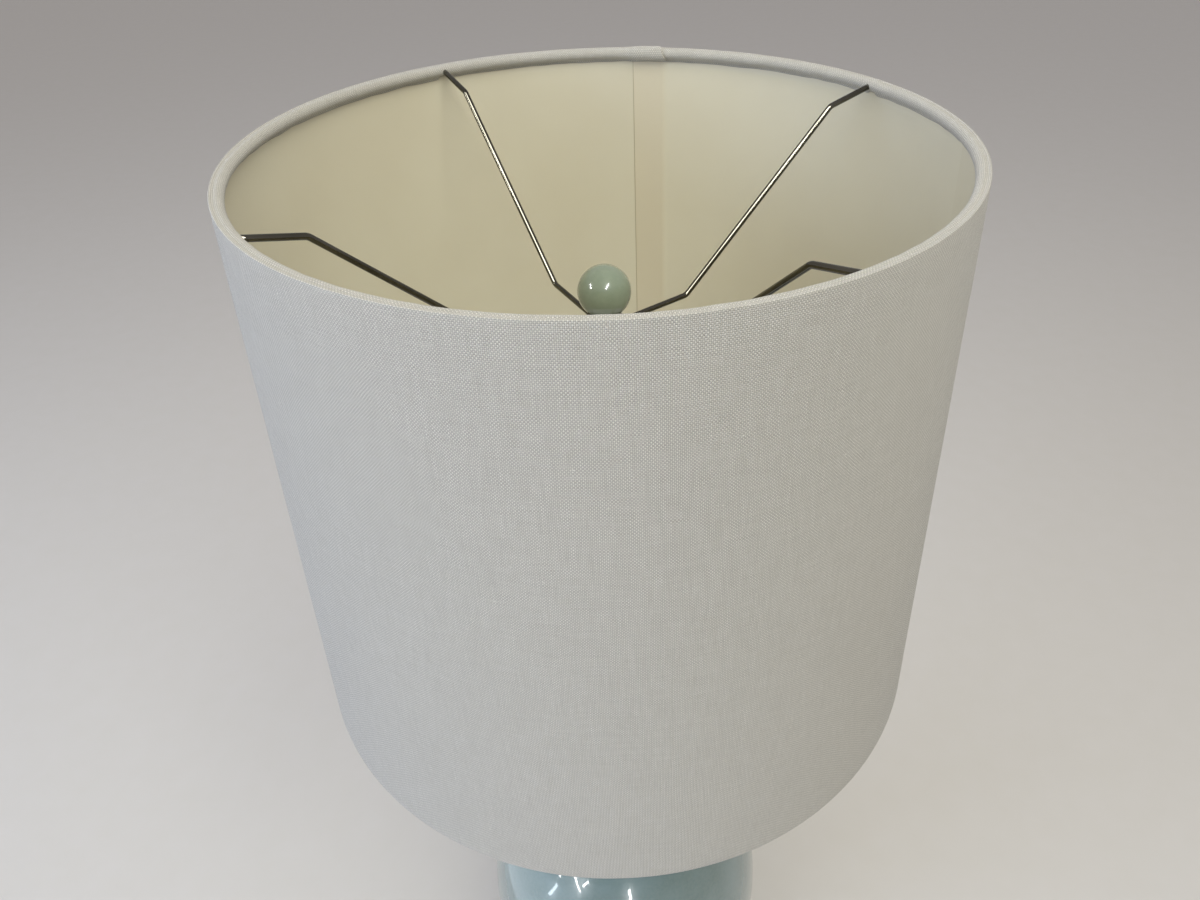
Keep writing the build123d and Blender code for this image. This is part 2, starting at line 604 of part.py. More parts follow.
def socket_core():
    """Moulded core: switch body below, flats for the binding screws, seat for the screw shell."""
    low = cap_low_z() + CAP_HEIGHT - SHELL_INSERT + 1.0
    edge = 0.8
    body = turned(Polyline((0, low), (CORE_R - edge, low), (CORE_R, low + edge), (CORE_R, CORE_TOP_Z - edge),
                           (CORE_R - edge, CORE_TOP_Z), (0, CORE_TOP_Z), close=True))
    flat = Pos(CORE_FLAT_X, 0, CORE_TOP_Z) * Box(
        CORE_R, 2 * CORE_R, CORE_FLAT_HEIGHT, align=(Align.MIN, Align.CENTER, Align.MAX))
    body = body - flat - mirror(flat, Plane.YZ)
    neck = disc(SCREW_SHELL_R - SCREW_SHELL_WALL - 1.4, CORE_TOP_Z, CORE_TOP_Z + CORE_NECK_HEIGHT)
    lead_way = disc(PIPE_BORE_R, low - 1.0, low + 3.0)
    shaft_way = switch_window(SWITCH_SHAFT_R + SWITCH_FIT) - disc(SWITCH_SHAFT_IN, low, CORE_TOP_Z)
    return body + neck - lead_way - shaft_way - terminal_screws()


def terminal_screws():
    """Two binding screws on the core's flats."""
    shank_length = 5.0
    head_height = 1.6
    screws = []
    for side in (-1, 1):
        start = (side * (CORE_FLAT_X - shank_length), 0, CORE_TOP_Z - CORE_FLAT_HEIGHT / 2)
        axis = Plane(origin=start, z_dir=(side, 0, 0))
        shank = axis * Cylinder(1.4, shank_length, align=(Align.CENTER, Align.CENTER, Align.MIN))
        head = axis * Pos(0, 0, shank_length) * Cylinder(
            2.3, head_height, align=(Align.CENTER, Align.CENTER, Align.MIN))
        slot = axis * Pos(0, 0, shank_length + head_height) * Box(SLOT_WIDTH, 6.0, head_height * 0.75)
        screws.append(shank + head - slot)
    return Compound(children=screws)


def screw_shell():
    """Rolled-thread shell that takes the bulb's cap, with a flange on the core."""
    inner_r = SCREW_SHELL_R - SCREW_SHELL_WALL
    flange_r = inner_r - 1.2
    low = CORE_TOP_Z
    floor_z = low + SCREW_SHELL_WALL
    return turned(Polyline((flange_r, low), (SCREW_SHELL_R, low), (SCREW_SHELL_R, SCREW_SHELL_TOP_Z),
                           (inner_r, SCREW_SHELL_TOP_Z), (inner_r, floor_z), (flange_r, floor_z), close=True))


def centre_contact():
    low = CORE_TOP_Z + CORE_NECK_HEIGHT
    body = disc(CONTACT_R, low, low + CONTACT_HEIGHT)
    return chamfer(body.edges().group_by(Axis.Z)[-1], 1.0)


# ---- Switch ------------------------------------------------------------------------
def switch_shaft():
    length = KNOB_OUT - 4.0 - SWITCH_SHAFT_IN
    bar = Cylinder(SWITCH_SHAFT_R, length, align=(Align.CENTER, Align.CENTER, Align.MIN))
    return Plane(origin=(0, -SWITCH_SHAFT_IN, SWITCH_Z), z_dir=(0, -1, 0)) * bar


def switch_knob():
    """Fluted knob with a domed end, pressed on the shaft."""
    length = KNOB_OUT - KNOB_IN
    profile = make_face([
        Line((0, 0), (KNOB_R - 1.2, 0)),
        Line((KNOB_R - 1.2, 0), (KNOB_R - 1.2, 2.0)),
        Line((KNOB_R - 1.2, 2.0), (KNOB_R, 3.2)),
        Line((KNOB_R, 3.2), (KNOB_R, length - 3.0)),
        ThreePointArc((KNOB_R, length - 3.0), (KNOB_R - 1.4, length - 1.0), (KNOB_R - 3.4, length)),
        Line((KNOB_R - 3.4, length), (0, length)),
        Line((0, length), (0, 0)),
    ])
    knob = revolve(Plane.XZ * profile, Axis.Z)
    flute = Pos(KNOB_R + 0.2, 0, 3.4) * Cylinder(KNOB_FLUTE_R, length,
                                                 align=(Align.CENTER, Align.CENTER, Align.MIN))
    for index in range(KNOB_FLUTES):
        knob = knob - Rot(0, 0, index * 360 / KNOB_FLUTES) * flute
    knob = Plane(origin=(0, -KNOB_IN, SWITCH_Z), z_dir=(0, -1, 0)) * knob
    return knob - switch_shaft()


# ---- Bulb --------------------------------------------------------------------------
def bulb_cap():
    """Rolled-thread cap: a wavy wall on a thin skirt."""
    low = BULB_CAP_LOW_Z
    skirt_z = BULB_CAP_TOP_Z - 3.0
    pitch = (skirt_z - low) / BULB_THREADS
    root_r = BULB_CAP_R - 0.55
    outline = [Line((BULB_CAP_INNER_R, low), (root_r, low))]
    for index in range(BULB_THREADS):
        z = low + index * pitch
        outline.append(ThreePointArc((root_r, z), (BULB_CAP_R, z + pitch / 2), (root_r, z + pitch)))
    outline.append(Line((root_r, skirt_z), (root_r, BULB_CAP_TOP_Z)))
    outline.append(Line((root_r, BULB_CAP_TOP_Z), (BULB_CAP_INNER_R, BULB_CAP_TOP_Z)))
    outline.append(Line((BULB_CAP_INNER_R, BULB_CAP_TOP_Z), (BULB_CAP_INNER_R, low)))
    return turned(*outline)


def bulb_contact():
    """Black insulator with the bright centre tip that meets the socket's contact."""
    low = CORE_TOP_Z + CORE_NECK_HEIGHT + CONTACT_HEIGHT
    shoulder_z = BULB_CAP_LOW_Z - 0.4
    top_z = BULB_CAP_LOW_Z + 3.0
    return turned(Polyline((0, low), (3.2, low), (4.4, low + 0.8), (BULB_CAP_INNER_R, shoulder_z),
                           (BULB_CAP_INNER_R, top_z), (0, top_z), close=True))


def bulb_skin(inset):
    """Pear curve of the globe from its neck to its top, at an inset from the glass's face."""
    globe_r = BULB_R - inset
    globe_z = BULB_TOP_Z - BULB_R
    neck_r = BULB_NECK_R - inset
    neck_z = BULB_CAP_TOP_Z + BULB_NECK_RISE
    return [
        Bezier((neck_r, neck_z), (neck_r + 0.5, neck_z + 16.0),
               (globe_r, globe_z - 20.0), (globe_r, globe_z)),
        ThreePointArc((globe_r, globe_z), (globe_r * sqrt(0.5), globe_z + globe_r * sqrt(0.5)),
                      (0, BULB_TOP_Z - inset)),
    ]


def bulb_globe():
    """Frosted globe, a thin glass shell whose stem is closed inside the cap."""
    neck_low = BULB_CAP_TOP_Z
    neck_z = neck_low + BULB_NECK_RISE
    foot_r = BULB_NECK_R - 1.6
    return turned(
        Line((BULB_STEM_INNER_R, BULB_STEM_LOW_Z), (BULB_CAP_INNER_R, BULB_STEM_LOW_Z)),
        Line((BULB_CAP_INNER_R, BULB_STEM_LOW_Z), (BULB_CAP_INNER_R, neck_low)),
        Line((BULB_CAP_INNER_R, neck_low), (foot_r, neck_low)),
        Line((foot_r, neck_low), (BULB_NECK_R, neck_z)),
        *bulb_skin(0),
        Line((0, BULB_TOP_Z), (0, BULB_TOP_Z - BULB_GLASS)),
        *bulb_skin(BULB_GLASS),
        Line((BULB_NECK_R - BULB_GLASS, neck_z), (BULB_STEM_INNER_R, neck_low + 2.0)),
        Line((BULB_STEM_INNER_R, neck_low + 2.0), (BULB_STEM_INNER_R, BULB_STEM_LOW_Z)),
    )


# ---- Shade -------------------------------------------------------------------------
def wall_r(height, depth):
    """Radius of the shade's wall at a height, at a depth behind the fabric's face."""
    share = (RIM_Z - height) / SHADE_DROP
    return RIM_R + (HEM_R - RIM_R) * share - depth


def wall_point(height, depth):
    """Point of the wall's section, as (radius, height)."""
    return wall_r(height, depth), height


def wall_outline(face_depth, thickness, low, high):
    """Outline of one layer of the tapered wall."""
    back_depth = face_depth + thickness
    return Polyline(wall_point(low, back_depth), wall_point(low, face_depth),
                    wall_point(high, face_depth), wall_point(high, back_depth), close=True)


def wall_strip(face_depth, thickness, low, high, from_deg, to_deg):
    """A vertical strip of one layer of the wall, over a few degrees."""
    section = Plane.XZ * make_face(wall_outline(face_depth, thickness, low, high))
    return Rot(0, 0, from_deg) * revolve(section, Axis.Z, revolution_arc=to_deg - from_deg)


def hem_z():
    return RIM_Z - SHADE_DROP + HEM_ROLL_R


def top_wire_z():
    return RIM_Z - RIM_ROLL_R


def top_wire_r():
    return wall_r(top_wire_z(), CLOTH + LINER) - WIRE_EASE - TOP_WIRE_R


def bottom_wire_r():
    return wall_r(hem_z(), CLOTH + LINER) - WIRE_EASE - BOTTOM_WIRE_R


def top_ring():
    return torus(top_wire_r(), top_wire_z(), TOP_WIRE_R)


def bottom_ring():
    return torus(bottom_wire_r(), hem_z(), BOTTOM_WIRE_R)


def seam_top_z():
    return RIM_Z - 2 * RIM_ROLL_R - SEAM_CLEAR


def shade_liner():
    """Styrene lining with its lap seam, which stands a second layer proud inside."""
    lining = turned(wall_outline(CLOTH, LINER, hem_z(), RIM_Z - CLOTH))
    lap = wall_strip(CLOTH + LINER, LAP_THICK, hem_z() + HEM_ROLL_R + SEAM_CLEAR, seam_top_z(),
                     LAP_FROM_DEG, LAP_TO_DEG)
    return lining + lap


def cloth_wall():
    """The fabric's wall, up to the narrow outer corner where it folds over the lining's edge."""
    bottom = wall_point(hem_z(), 0)
    side = wall_point(RIM_Z - RIM_CORNER_R, 0)
    face_r = wall_r(RIM_Z, 0)
    corner = (face_r - RIM_CORNER_R * (1 - sqrt(0.5)), RIM_Z - RIM_CORNER_R * (1 - sqrt(0.5)))
    top = (face_r - RIM_CORNER_R, RIM_Z)
    back = wall_point(RIM_Z, CLOTH)
    foot = wall_point(hem_z(), CLOTH)
    return turned(Line(bottom, side), ThreePointArc(side, corner, top), Line(top, back), Line(back, foot),
                  Line(foot, bottom))


def shade_fabric():
    """Fabric cover: the wall, its folded back seam, and the hem turned round the lower wire."""
    hem = torus(wall_r(hem_z(), 0) - HEM_ROLL_R, hem_z(), HEM_ROLL_R)
    wire_low = hem_z() - BOTTOM_WIRE_R
    wire_high = hem_z() + BOTTOM_WIRE_R
    above = hem_z() + 3 * HEM_ROLL_R
    pocket = turned(Polyline((bottom_wire_r(), wire_low), wall_point(wire_low, CLOTH),
                             wall_point(above, CLOTH), wall_point(above, CLOTH + LINER),
                             wall_point(wire_high, CLOTH + LINER), (bottom_wire_r(), wire_high),
                             close=True))
    seam = wall_strip(-CLOTH_LAP_RISE, CLOTH, hem_z(), seam_top_z(), LAP_FROM_DEG,
                      LAP_FROM_DEG + CLOTH_LAP_DEG)
    return cloth_wall() + (hem - pocket - bottom_ring()) + (seam - lining_space())


def lining_space():
    """Everything inside the fabric's wall, which its seam keeps out of."""
    return turned(Polyline((0, hem_z()), wall_point(hem_z(), CLOTH), wall_point(RIM_Z, CLOTH),
                           (0, RIM_Z), close=True))


def top_trim():
    """The fabric's folded edge: flat over the wall's top, rolled round the top wire to the lining."""
    roll_r = wall_r(top_wire_z(), 0) - RIM_ROLL_R
    roll = torus(roll_r, top_wire_z(), RIM_ROLL_R)
    flat = turned(Polyline((roll_r, top_wire_z()), wall_point(top_wire_z(), CLOTH),
                           wall_point(RIM_Z, CLOTH), (roll_r, RIM_Z), close=True))
    edge = roll + flat - outside_rim() - top_ring()
    for angle in ARM_ANGLES.values():
        edge = edge - arm_blank(angle)
    return edge


def outside_rim():
    """Space of the wall and of the top wire, which the folded edge keeps out of."""
    wire_low = top_wire_z() - TOP_WIRE_R
    wire_high = top_wire_z() + TOP_WIRE_R
    below = RIM_Z - 3 * RIM_ROLL_R
    above = RIM_Z + 1.0
    outside_r = RIM_R + RIM_ROLL_R
    lining_top = RIM_Z - CLOTH
    return turned(Polyline((top_wire_r(), wire_low), wall_point(wire_low, CLOTH + LINER),
                           wall_point(below, CLOTH + LINER), (outside_r, below), (outside_r, above),
                           wall_point(above, CLOTH), wall_point(lining_top, CLOTH),
                           wall_point(lining_top, CLOTH + LINER), wall_point(wire_high, CLOTH + LINER),
                           (top_wire_r(), wire_high), close=True))


# ---- Spider ------------------------------------------------------------------------
def arm_blank(angle):
    """One bent arm, from beside the top wire down to the hub."""
    corners = [(radius, 0, RIM_Z + height) for radius, height in ARM_DROP]
    return Rot(0, 0, angle) * bent_wire(corners, [ARM_BEND_R, ARM_BEND_R], ARM_WIRE_R)


def spider_arm(angle):
    """The arm seats in a shallow saddle against the top wire."""
    return arm_blank(angle) - top_ring()


def spider_hub():
    """Turned washer that takes the four arms in its edge."""
    low = RIM_Z + HUB_BOTTOM
    high = RIM_Z + HUB_TOP
    edge = 0.5
    hub = turned(Polyline((HUB_HOLE_R, low), (HUB_R - edge, low), (HUB_R, low + edge), (HUB_R, high - edge),
                          (HUB_R - edge, high), (HUB_HOLE_R, high), close=True))
    for angle in ARM_ANGLES.values():
        hub = hub - arm_blank(angle)
    return hub


# ---- Finial ------------------------------------------------------------------------
def finial_collar():
    """Threaded metal neck that holds the ball on the stud."""
    low = RIM_Z + HUB_TOP
    ball_low = RIM_Z + BALL_Z - BALL_R
    high = ball_low + COLLAR_SHANK_TOP
    seat_z = ball_low + BALL_R - sqrt(BALL_R ** 2 - COLLAR_NECK_R ** 2)
    return turned(
        Line((COLLAR_BORE_R, low), (COLLAR_R, low)),
        Line((COLLAR_R, low), (COLLAR_R, low + COLLAR_FLANGE)),
        Line((COLLAR_R, low + COLLAR_FLANGE), (COLLAR_NECK_R, low + COLLAR_FLANGE + COLLAR_CONE)),
        Line((COLLAR_NECK_R, low + COLLAR_FLANGE + COLLAR_CONE), (COLLAR_NECK_R, seat_z)),
        Line((COLLAR_NECK_R, seat_z), (COLLAR_SHANK_R, seat_z)),
        Line((COLLAR_SHANK_R, seat_z), (COLLAR_SHANK_R, high)),
        Line((COLLAR_SHANK_R, high), (0, high)),
        Line((0, high), (0, high - COLLAR_ROOF)),
        Line((0, high - COLLAR_ROOF), (COLLAR_BORE_R, high - COLLAR_ROOF)),
        Line((COLLAR_BORE_R, high - COLLAR_ROOF), (COLLAR_BORE_R, low)),
    )


def finial_ball():
    """Glazed ball with a flat-seated blind hole for the collar."""
    ball_low = RIM_Z + BALL_Z - BALL_R
    seat_z = ball_low + BALL_R - sqrt(BALL_R ** 2 - COLLAR_NECK_R ** 2)
    ball = Pos(0, 0, RIM_Z + BALL_Z) * Sphere(BALL_R)
    return ball - disc(COLLAR_NECK_R, ball_low - 1.0, seat_z) - disc(
        COLLAR_SHANK_R, seat_z, ball_low + COLLAR_SHANK_TOP)


def lamp():
    """Every node of the lamp by name."""
    nodes = {
        "felt_pad": felt_pad(), "wood_base": wood_base(), "cord_bushing": cord_bushing(),
        "base_weight": base_weight(), "base_washer": base_washer(), "base_nut": base_nut(),
        "lamp_pipe": lamp_pipe(), "jar_body": jar_body(), "jar_lid": jar_lid(),
        "cap_gasket": cap_gasket(), "vase_cap": vase_cap(), "neck_spindle": neck_spindle(),
        "check_ring": check_ring(), "riser_tube": riser_tube(), "harp_saddle": harp_saddle(),
        "harp_wire": harp_wire(), "harp_stud": harp_stud(),
        "ferrule_left": ferrule(-1), "ferrule_right": ferrule(1),
        "socket_cap": socket_cap(), "cap_screw": cap_screw(), "socket_shell": socket_shell(),
        "socket_liner": socket_liner(), "socket_core": socket_core(),
        "terminal_screws": terminal_screws(), "screw_shell": screw_shell(),
        "centre_contact": centre_contact(), "switch_shaft": switch_shaft(),
        "switch_knob": switch_knob(), "bulb_cap": bulb_cap(), "bulb_contact": bulb_contact(),
        "bulb_globe": bulb_globe(), "shade_fabric": shade_fabric(), "shade_liner": shade_liner(),
        "top_trim": top_trim(), "top_ring": top_ring(), "bottom_ring": bottom_ring(),
        "spider_hub": spider_hub(), "finial_collar": finial_collar(), "finial_ball": finial_ball(),
    }
    for place, angle in ARM_ANGLES.items():
        nodes["spider_arm_" + place] = spider_arm(angle)
    return nodes


os.makedirs("parts", exist_ok=True)
for name, solid in lamp().items():
    export_step(solid, os.path.join("parts", name + ".step"))
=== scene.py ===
from collections import namedtuple
from math import acos, cos, degrees, hypot, pi, radians, sin, tan

import bmesh
import bpy
from mathutils import Matrix, Vector, noise


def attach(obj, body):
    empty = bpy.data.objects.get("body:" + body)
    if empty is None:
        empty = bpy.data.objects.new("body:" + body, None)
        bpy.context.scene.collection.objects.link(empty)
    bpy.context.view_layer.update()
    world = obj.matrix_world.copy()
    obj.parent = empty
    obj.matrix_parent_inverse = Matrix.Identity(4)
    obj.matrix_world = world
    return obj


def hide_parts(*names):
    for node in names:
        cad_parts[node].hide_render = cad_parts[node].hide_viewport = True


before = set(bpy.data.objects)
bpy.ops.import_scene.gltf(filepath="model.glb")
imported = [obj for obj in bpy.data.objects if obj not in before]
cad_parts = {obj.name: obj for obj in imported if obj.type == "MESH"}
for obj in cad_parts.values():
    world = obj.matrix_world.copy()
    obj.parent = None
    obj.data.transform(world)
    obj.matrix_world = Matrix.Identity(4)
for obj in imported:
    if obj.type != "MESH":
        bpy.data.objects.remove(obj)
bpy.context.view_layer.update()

MM = 0.001

# ---- Sizes shared with the CAD source ----------------------------------------------
RIM_Z = 790.0 * MM
SHADE_DROP = 304.8 * MM
RIM_R = 165.1 * MM
HEM_R = 177.8 * MM
RIM_ROLL_R = 3.03 * MM
WIRE_Z = RIM_Z - RIM_ROLL_R
HEM_ROLL_R = 2.9 * MM
HEM_Z = RIM_Z - SHADE_DROP + HEM_ROLL_R
CLOTH = 0.7 * MM
LINER = 0.7 * MM
LINING_FACE = CLOTH + LINER     # depth of the lining's inner face behind the fabric's face
LAP_THICK = 0.5 * MM
LAP_FROM_DEG = 75.6
LAP_TO_DEG = 82.2
ARM_WIRE_R = 1.45 * MM
ARM_ANGLES = {"back_left": 122.4, "back_right": 29.0, "front_right": -57.6, "front_left": -146.6}
# Corners of an arm's wire: mm out from the axis, and mm above the rim
ARM_CORNERS = [(161.2, -3.0), (135.5, -9.0), (49.2, -91.0), (9.5, -94.3)]
ARM_BEND_R = 5.0 * MM
BALL_R = 13.4 * MM
BALL_Z = RIM_Z - 75.0 * MM
COLLAR_NECK_R = 5.6 * MM

# ---- Fabric over the wall and round the rim ----------------------------------------
SEAM_RISE = 0.3 * MM            # overlap of the fabric on the wall, at the back
SEAM_END_DEG = LAP_FROM_DEG + 3.4
SEAM_FADE_DEG = 0.8
CUT_EDGE_DEG = 0.12             # width of the slope at a cut edge of fabric
WALL_TOP_Z = RIM_Z - 1.2 * MM   # the rows of the wall start here, just below the fold
WALL_ROWS = 44
WALL_BACK_ROWS = 8
WALL_EASE_ROWS = 3              # the wall's unevenness grows over its first rows
RIM_SLACK = 0.10 * MM           # keeps the uneven roll near the size of the plain one
ROLL_PLY = 0.75 * MM            # thickness of the fabric where it goes round a wire
ROLL_STEPS = 24
ROLL_END_DEG = 238.0            # where the roll meets the lining; 0 is outwards and 90 is up
TOP_STEPS = 7
FOLD_R = 0.55 * MM              # outer corner of the rim, where the fabric folds over
FOLD_DIP = 0.3 * MM             # the top sags this much behind that corner
FOLD_SHARE = 0.5                # share of the roll's unevenness that the corner takes part in
FOLD_DEG = 60.0                 # place on the roll that stands for the corner
JOINT_DEG = 76.4                # end of the fabric where it overlaps on the rim
JOINT_SLANT_DEG = 1.5           # its end is cut aslant by this much over half a turn of the roll
JOINT_RISE = 1.2 * MM
JOINT_FADE_FROM_DEG = 80.6
JOINT_FADE_TO_DEG = 84.6

# ---- Fabric tucked in under the rolled rim, with notches beside the arms -----------
TUCK_TOP_Z = WIRE_Z - 2.9 * MM  # top of the leg that lies on the lining
TUCK_LEG_Z = WIRE_Z - 3.0 * MM  # level that the leg is measured from
TUCK_LEG = 1.7 * MM
TUCK_LEG_BEND = 0.6             # place of the leg's second row, as a share of its height
TUCK_PULL = 0.225 * MM          # how far the tuck draws the roll in
TUCK_PULL_FROM_DEG = 170.0
TUCK_GAP = 0.02 * MM            # between its back and the lining
TUCK_TIP = 0.1 * MM             # its back ends this much lower than its face
NOTCH_FULL_DEG = 0.5            # a notch is whole up to here on either side of the arm
NOTCH_END_DEG = 1.3             # and gone from here on
NOTCH_CUT = 0.7                 # share of the leg that is missing there
NOTCH_PULL = 0.25 * MM

# ---- Fabric turned under at the hem ------------------------------------------------
HEM_FLANGE = 8.0 * MM           # glued inside, above the lower wire
HEM_PLY = 0.5 * MM
FLANGE_CLEAR = 0.6 * MM         # from the top of the roll up to the flange
FLANGE_TIP = 0.1 * MM           # its back stands this much higher than its face
HIDDEN_GAP = 0.05 * MM          # keeps hidden faces from falling together

# ---- Lining ------------------------------------------------------------------------
LINING_ROWS = 30
LINING_BACK_ROWS = 4
LINING_LOW_Z = HEM_Z + 1.0 * MM
LINING_TOP_Z = WIRE_Z + 1.0 * MM
LINING_GAP = 0.02 * MM          # between the fabric's thickness and the sheet
LAP_BEGINS_DEG = (LAP_FROM_DEG - 0.6, LAP_FROM_DEG + 0.9)
LAP_ENDS_DEG = (LAP_TO_DEG, LAP_TO_DEG + 0.10)
# The lap and the waves fade out where the flange and the tuck press on the sheet
ABOVE_FLANGE_Z = (HEM_Z + 12.0 * MM, HEM_Z + 16.0 * MM)
BELOW_TUCK_Z = (WIRE_Z - 5.0 * MM, WIRE_Z - 2.0 * MM)

# Arcs of the fabric's section: from and to in degrees, 0 outwards and 90 up, and their steps
FOLD_ARC = (96, 2, 8)
HEM_ARC = (-6, -222, 26)
HEM_BACK_ARC = (-205, -20, 20)
RIM_BACK_ARC = (90, 225, 18)

# ---- Unevenness: its amount, the length of its waves, and its seed -----------------
Unevenness = namedtuple("Unevenness", "amount wave seed")
WALL_UNEVEN = Unevenness(0.10 * MM, 60.0 * MM, 1)
HEM_SAG = Unevenness(0.22 * MM, 30.0 * MM, 2)
FLANGE_EDGE = Unevenness(0.8 * MM, 20.0 * MM, 3)
LINING_WAVES = Unevenness(0.12 * MM, 90.0 * MM, 4)
RIM_FINE = Unevenness(0.16 * MM, 9.0 * MM, 5)
RIM_LONG = Unevenness(0.14 * MM, 50.0 * MM, 6)
RIM_LONG_LEVEL = 0.3            # height in the noise that the long waves are taken from
TUCK_EDGE = Unevenness(0.5 * MM, 11.0 * MM, 8)
BALL_UNEVEN = Unevenness(0.0025, 120.0 * MM, 9)
BALL_LEVEL = 20.0 * MM          # half of the height in the noise that the ball takes up
RIPPLE_R = 170.0 * MM           # radius of the ring in the noise that stands for one turn
SEEDS_APART = 9.7               # distance in the noise from one seed to the next

# ---- Steps of the round pieces -----------------------------------------------------
COVER_STEP_DEG = 0.5
LINING_STEP_DEG = 1.0
BALL_STEP_DEG = 3.0
BALL_ROWS = 56
ARM_ARC_STEP = 0.5 * MM
ARM_RUN_STEP = 4.0 * MM
ARM_SIDES = 20
SAME_POINT = 1e-7

# ---- Weave -------------------------------------------------------------------------
THREAD_PITCH = 0.72 * MM
THREAD_WANDER = 1.4             # threads stray sideways by up to this many pitches
WANDER_SCALE = 90.0
THREAD_DIP = 0.45               # share of a thread's height left between the threads that it crosses
THREAD_UNDER = 0.42             # share left where it lies below another
THREADS_APART = 7.31            # distance in the noise from one thread to the next
TONE_SCALE = 60.0               # unevenness of tone along a thread
CROSSING_PAINTED_LIGHT = 0.88            # mean painted light and shade of the crossings, beside the painted shade of the gaps
NUB_HEIGHT = 1.2                # rise of a nub, where a thread rises by 1

# ---- Camera and studio -------------------------------------------------------------
CAMERA_AT = (0.0, -402.79 * MM, 920.98 * MM)
CAMERA_YAW = 0.20
CAMERA_PITCH = 37.10
CAMERA_ROLL = -1.94
CAMERA_LENS = 27.0
CAMERA_SENSOR = 36.0
CAMERA_SHIFT_X = -0.0104
CAMERA_NEAR = 0.01
CAMERA_FAR = 60.0
FLOOR_HALF = 12.0
FLOOR_PAINTS = ((213, 210, 203), (215, 212, 206))
WORLD_LOW_PAINT = (206, 203, 205)
WORLD_HIGH_PAINT = (186, 183, 185)
WORLD_HIGH_AT = 0.75
WORLD_STRENGTH = 0.86
WHITE = (1.0, 1.0, 1.0)

# Soft light: its place, the point it faces, its size, watts and colour.
Softbox = namedtuple("Softbox", "name at aim size watts colour")
SOFTBOXES = (
    Softbox("window", (-2.2, -1.2, 1.1), (0.0, 0.0, 0.6), (1.8, 1.4), 42.0, (0.61, 0.73, 1.0)),
    Softbox("overhead", (0.3, -0.9, 2.1), (0.0, 0.0, 0.7), (1.0, 1.0), 20.0, (1.0, 0.99, 0.88)),
    Softbox("top", (0.1, 0.5, 2.2), (0.0, 0.0, 0.7), (0.9, 0.9), 5.5, (1.0, 0.97, 0.90)),
)

# Bright panes that show only as highlights on gloss: the point each one faces, its direction and
# distance from there, the turn of its long side in degrees, its size, watts and colour.
Pane = namedtuple("Pane", "name aim toward distance turn_deg size watts colour", defaults=(WHITE,))
BALL_MIDDLE = (0.0, 0.0, BALL_Z)
# Points on the jar's shoulder that show below the shade
JAR_LEFT = (-0.044, -0.068, 0.283)
JAR_MIDDLE = (-0.033, -0.075, 0.283)
JAR_RIGHT = (0.002, -0.082, 0.284)
BALL_PANES = (
    Pane("left_pane", BALL_MIDDLE, (-0.839, -0.28, 0.466), 3.0, 48.0, (0.09, 1.35), 30.0),
    Pane("front_pane", BALL_MIDDLE, (0.233, -0.662, 0.712), 3.0, -40.0, (0.14, 1.35), 45.0),
)
ARM_PANES = (
    Pane("arm_pane", BALL_MIDDLE, (-0.2, -0.5, 0.84), 2.2, 0.0, (1.3, 1.3), 75.0),
)
PALE_SKY = (0.8, 0.9, 1.0)
BLUE_SKY = (0.72, 0.87, 1.0)
JAR_PANES = (
    Pane("low_pane_left", JAR_MIDDLE, (-0.62, -0.76, -0.20), 1.1, 42.0, (0.03, 0.2), 0.7),
    Pane("low_pane_mid", JAR_MIDDLE, (-0.52, -0.84, -0.16), 1.1, -50.0, (0.025, 0.12), 0.5),
    Pane("low_pane_far", JAR_LEFT, (-0.74, -0.60, -0.31), 1.1, 44.0, (0.03, 0.22), 0.6),
    Pane("low_pane_edge", JAR_LEFT, (-0.77, -0.47, -0.43), 0.6, -30.0, (0.018, 0.14), 0.10, PALE_SKY),
    Pane("low_pane_front", JAR_RIGHT, (0.05, -0.97, -0.19), 1.1, 6.0, (0.045, 0.13), 0.8),
    Pane("low_sky", JAR_LEFT, (-0.75, -0.20, -0.60), 0.36, 0.0, (0.6, 0.22), 0.30, BLUE_SKY),
)


def paint(red, green, blue):
    """A colour written as it should look, 0 to 255, as the linear values that the shader takes."""
    def linear(value):
        share = value / 255
        return share / 12.92 if share <= 0.04045 else ((share + 0.055) / 1.055) ** 2.4
    return (linear(red), linear(green), linear(blue), 1.0)


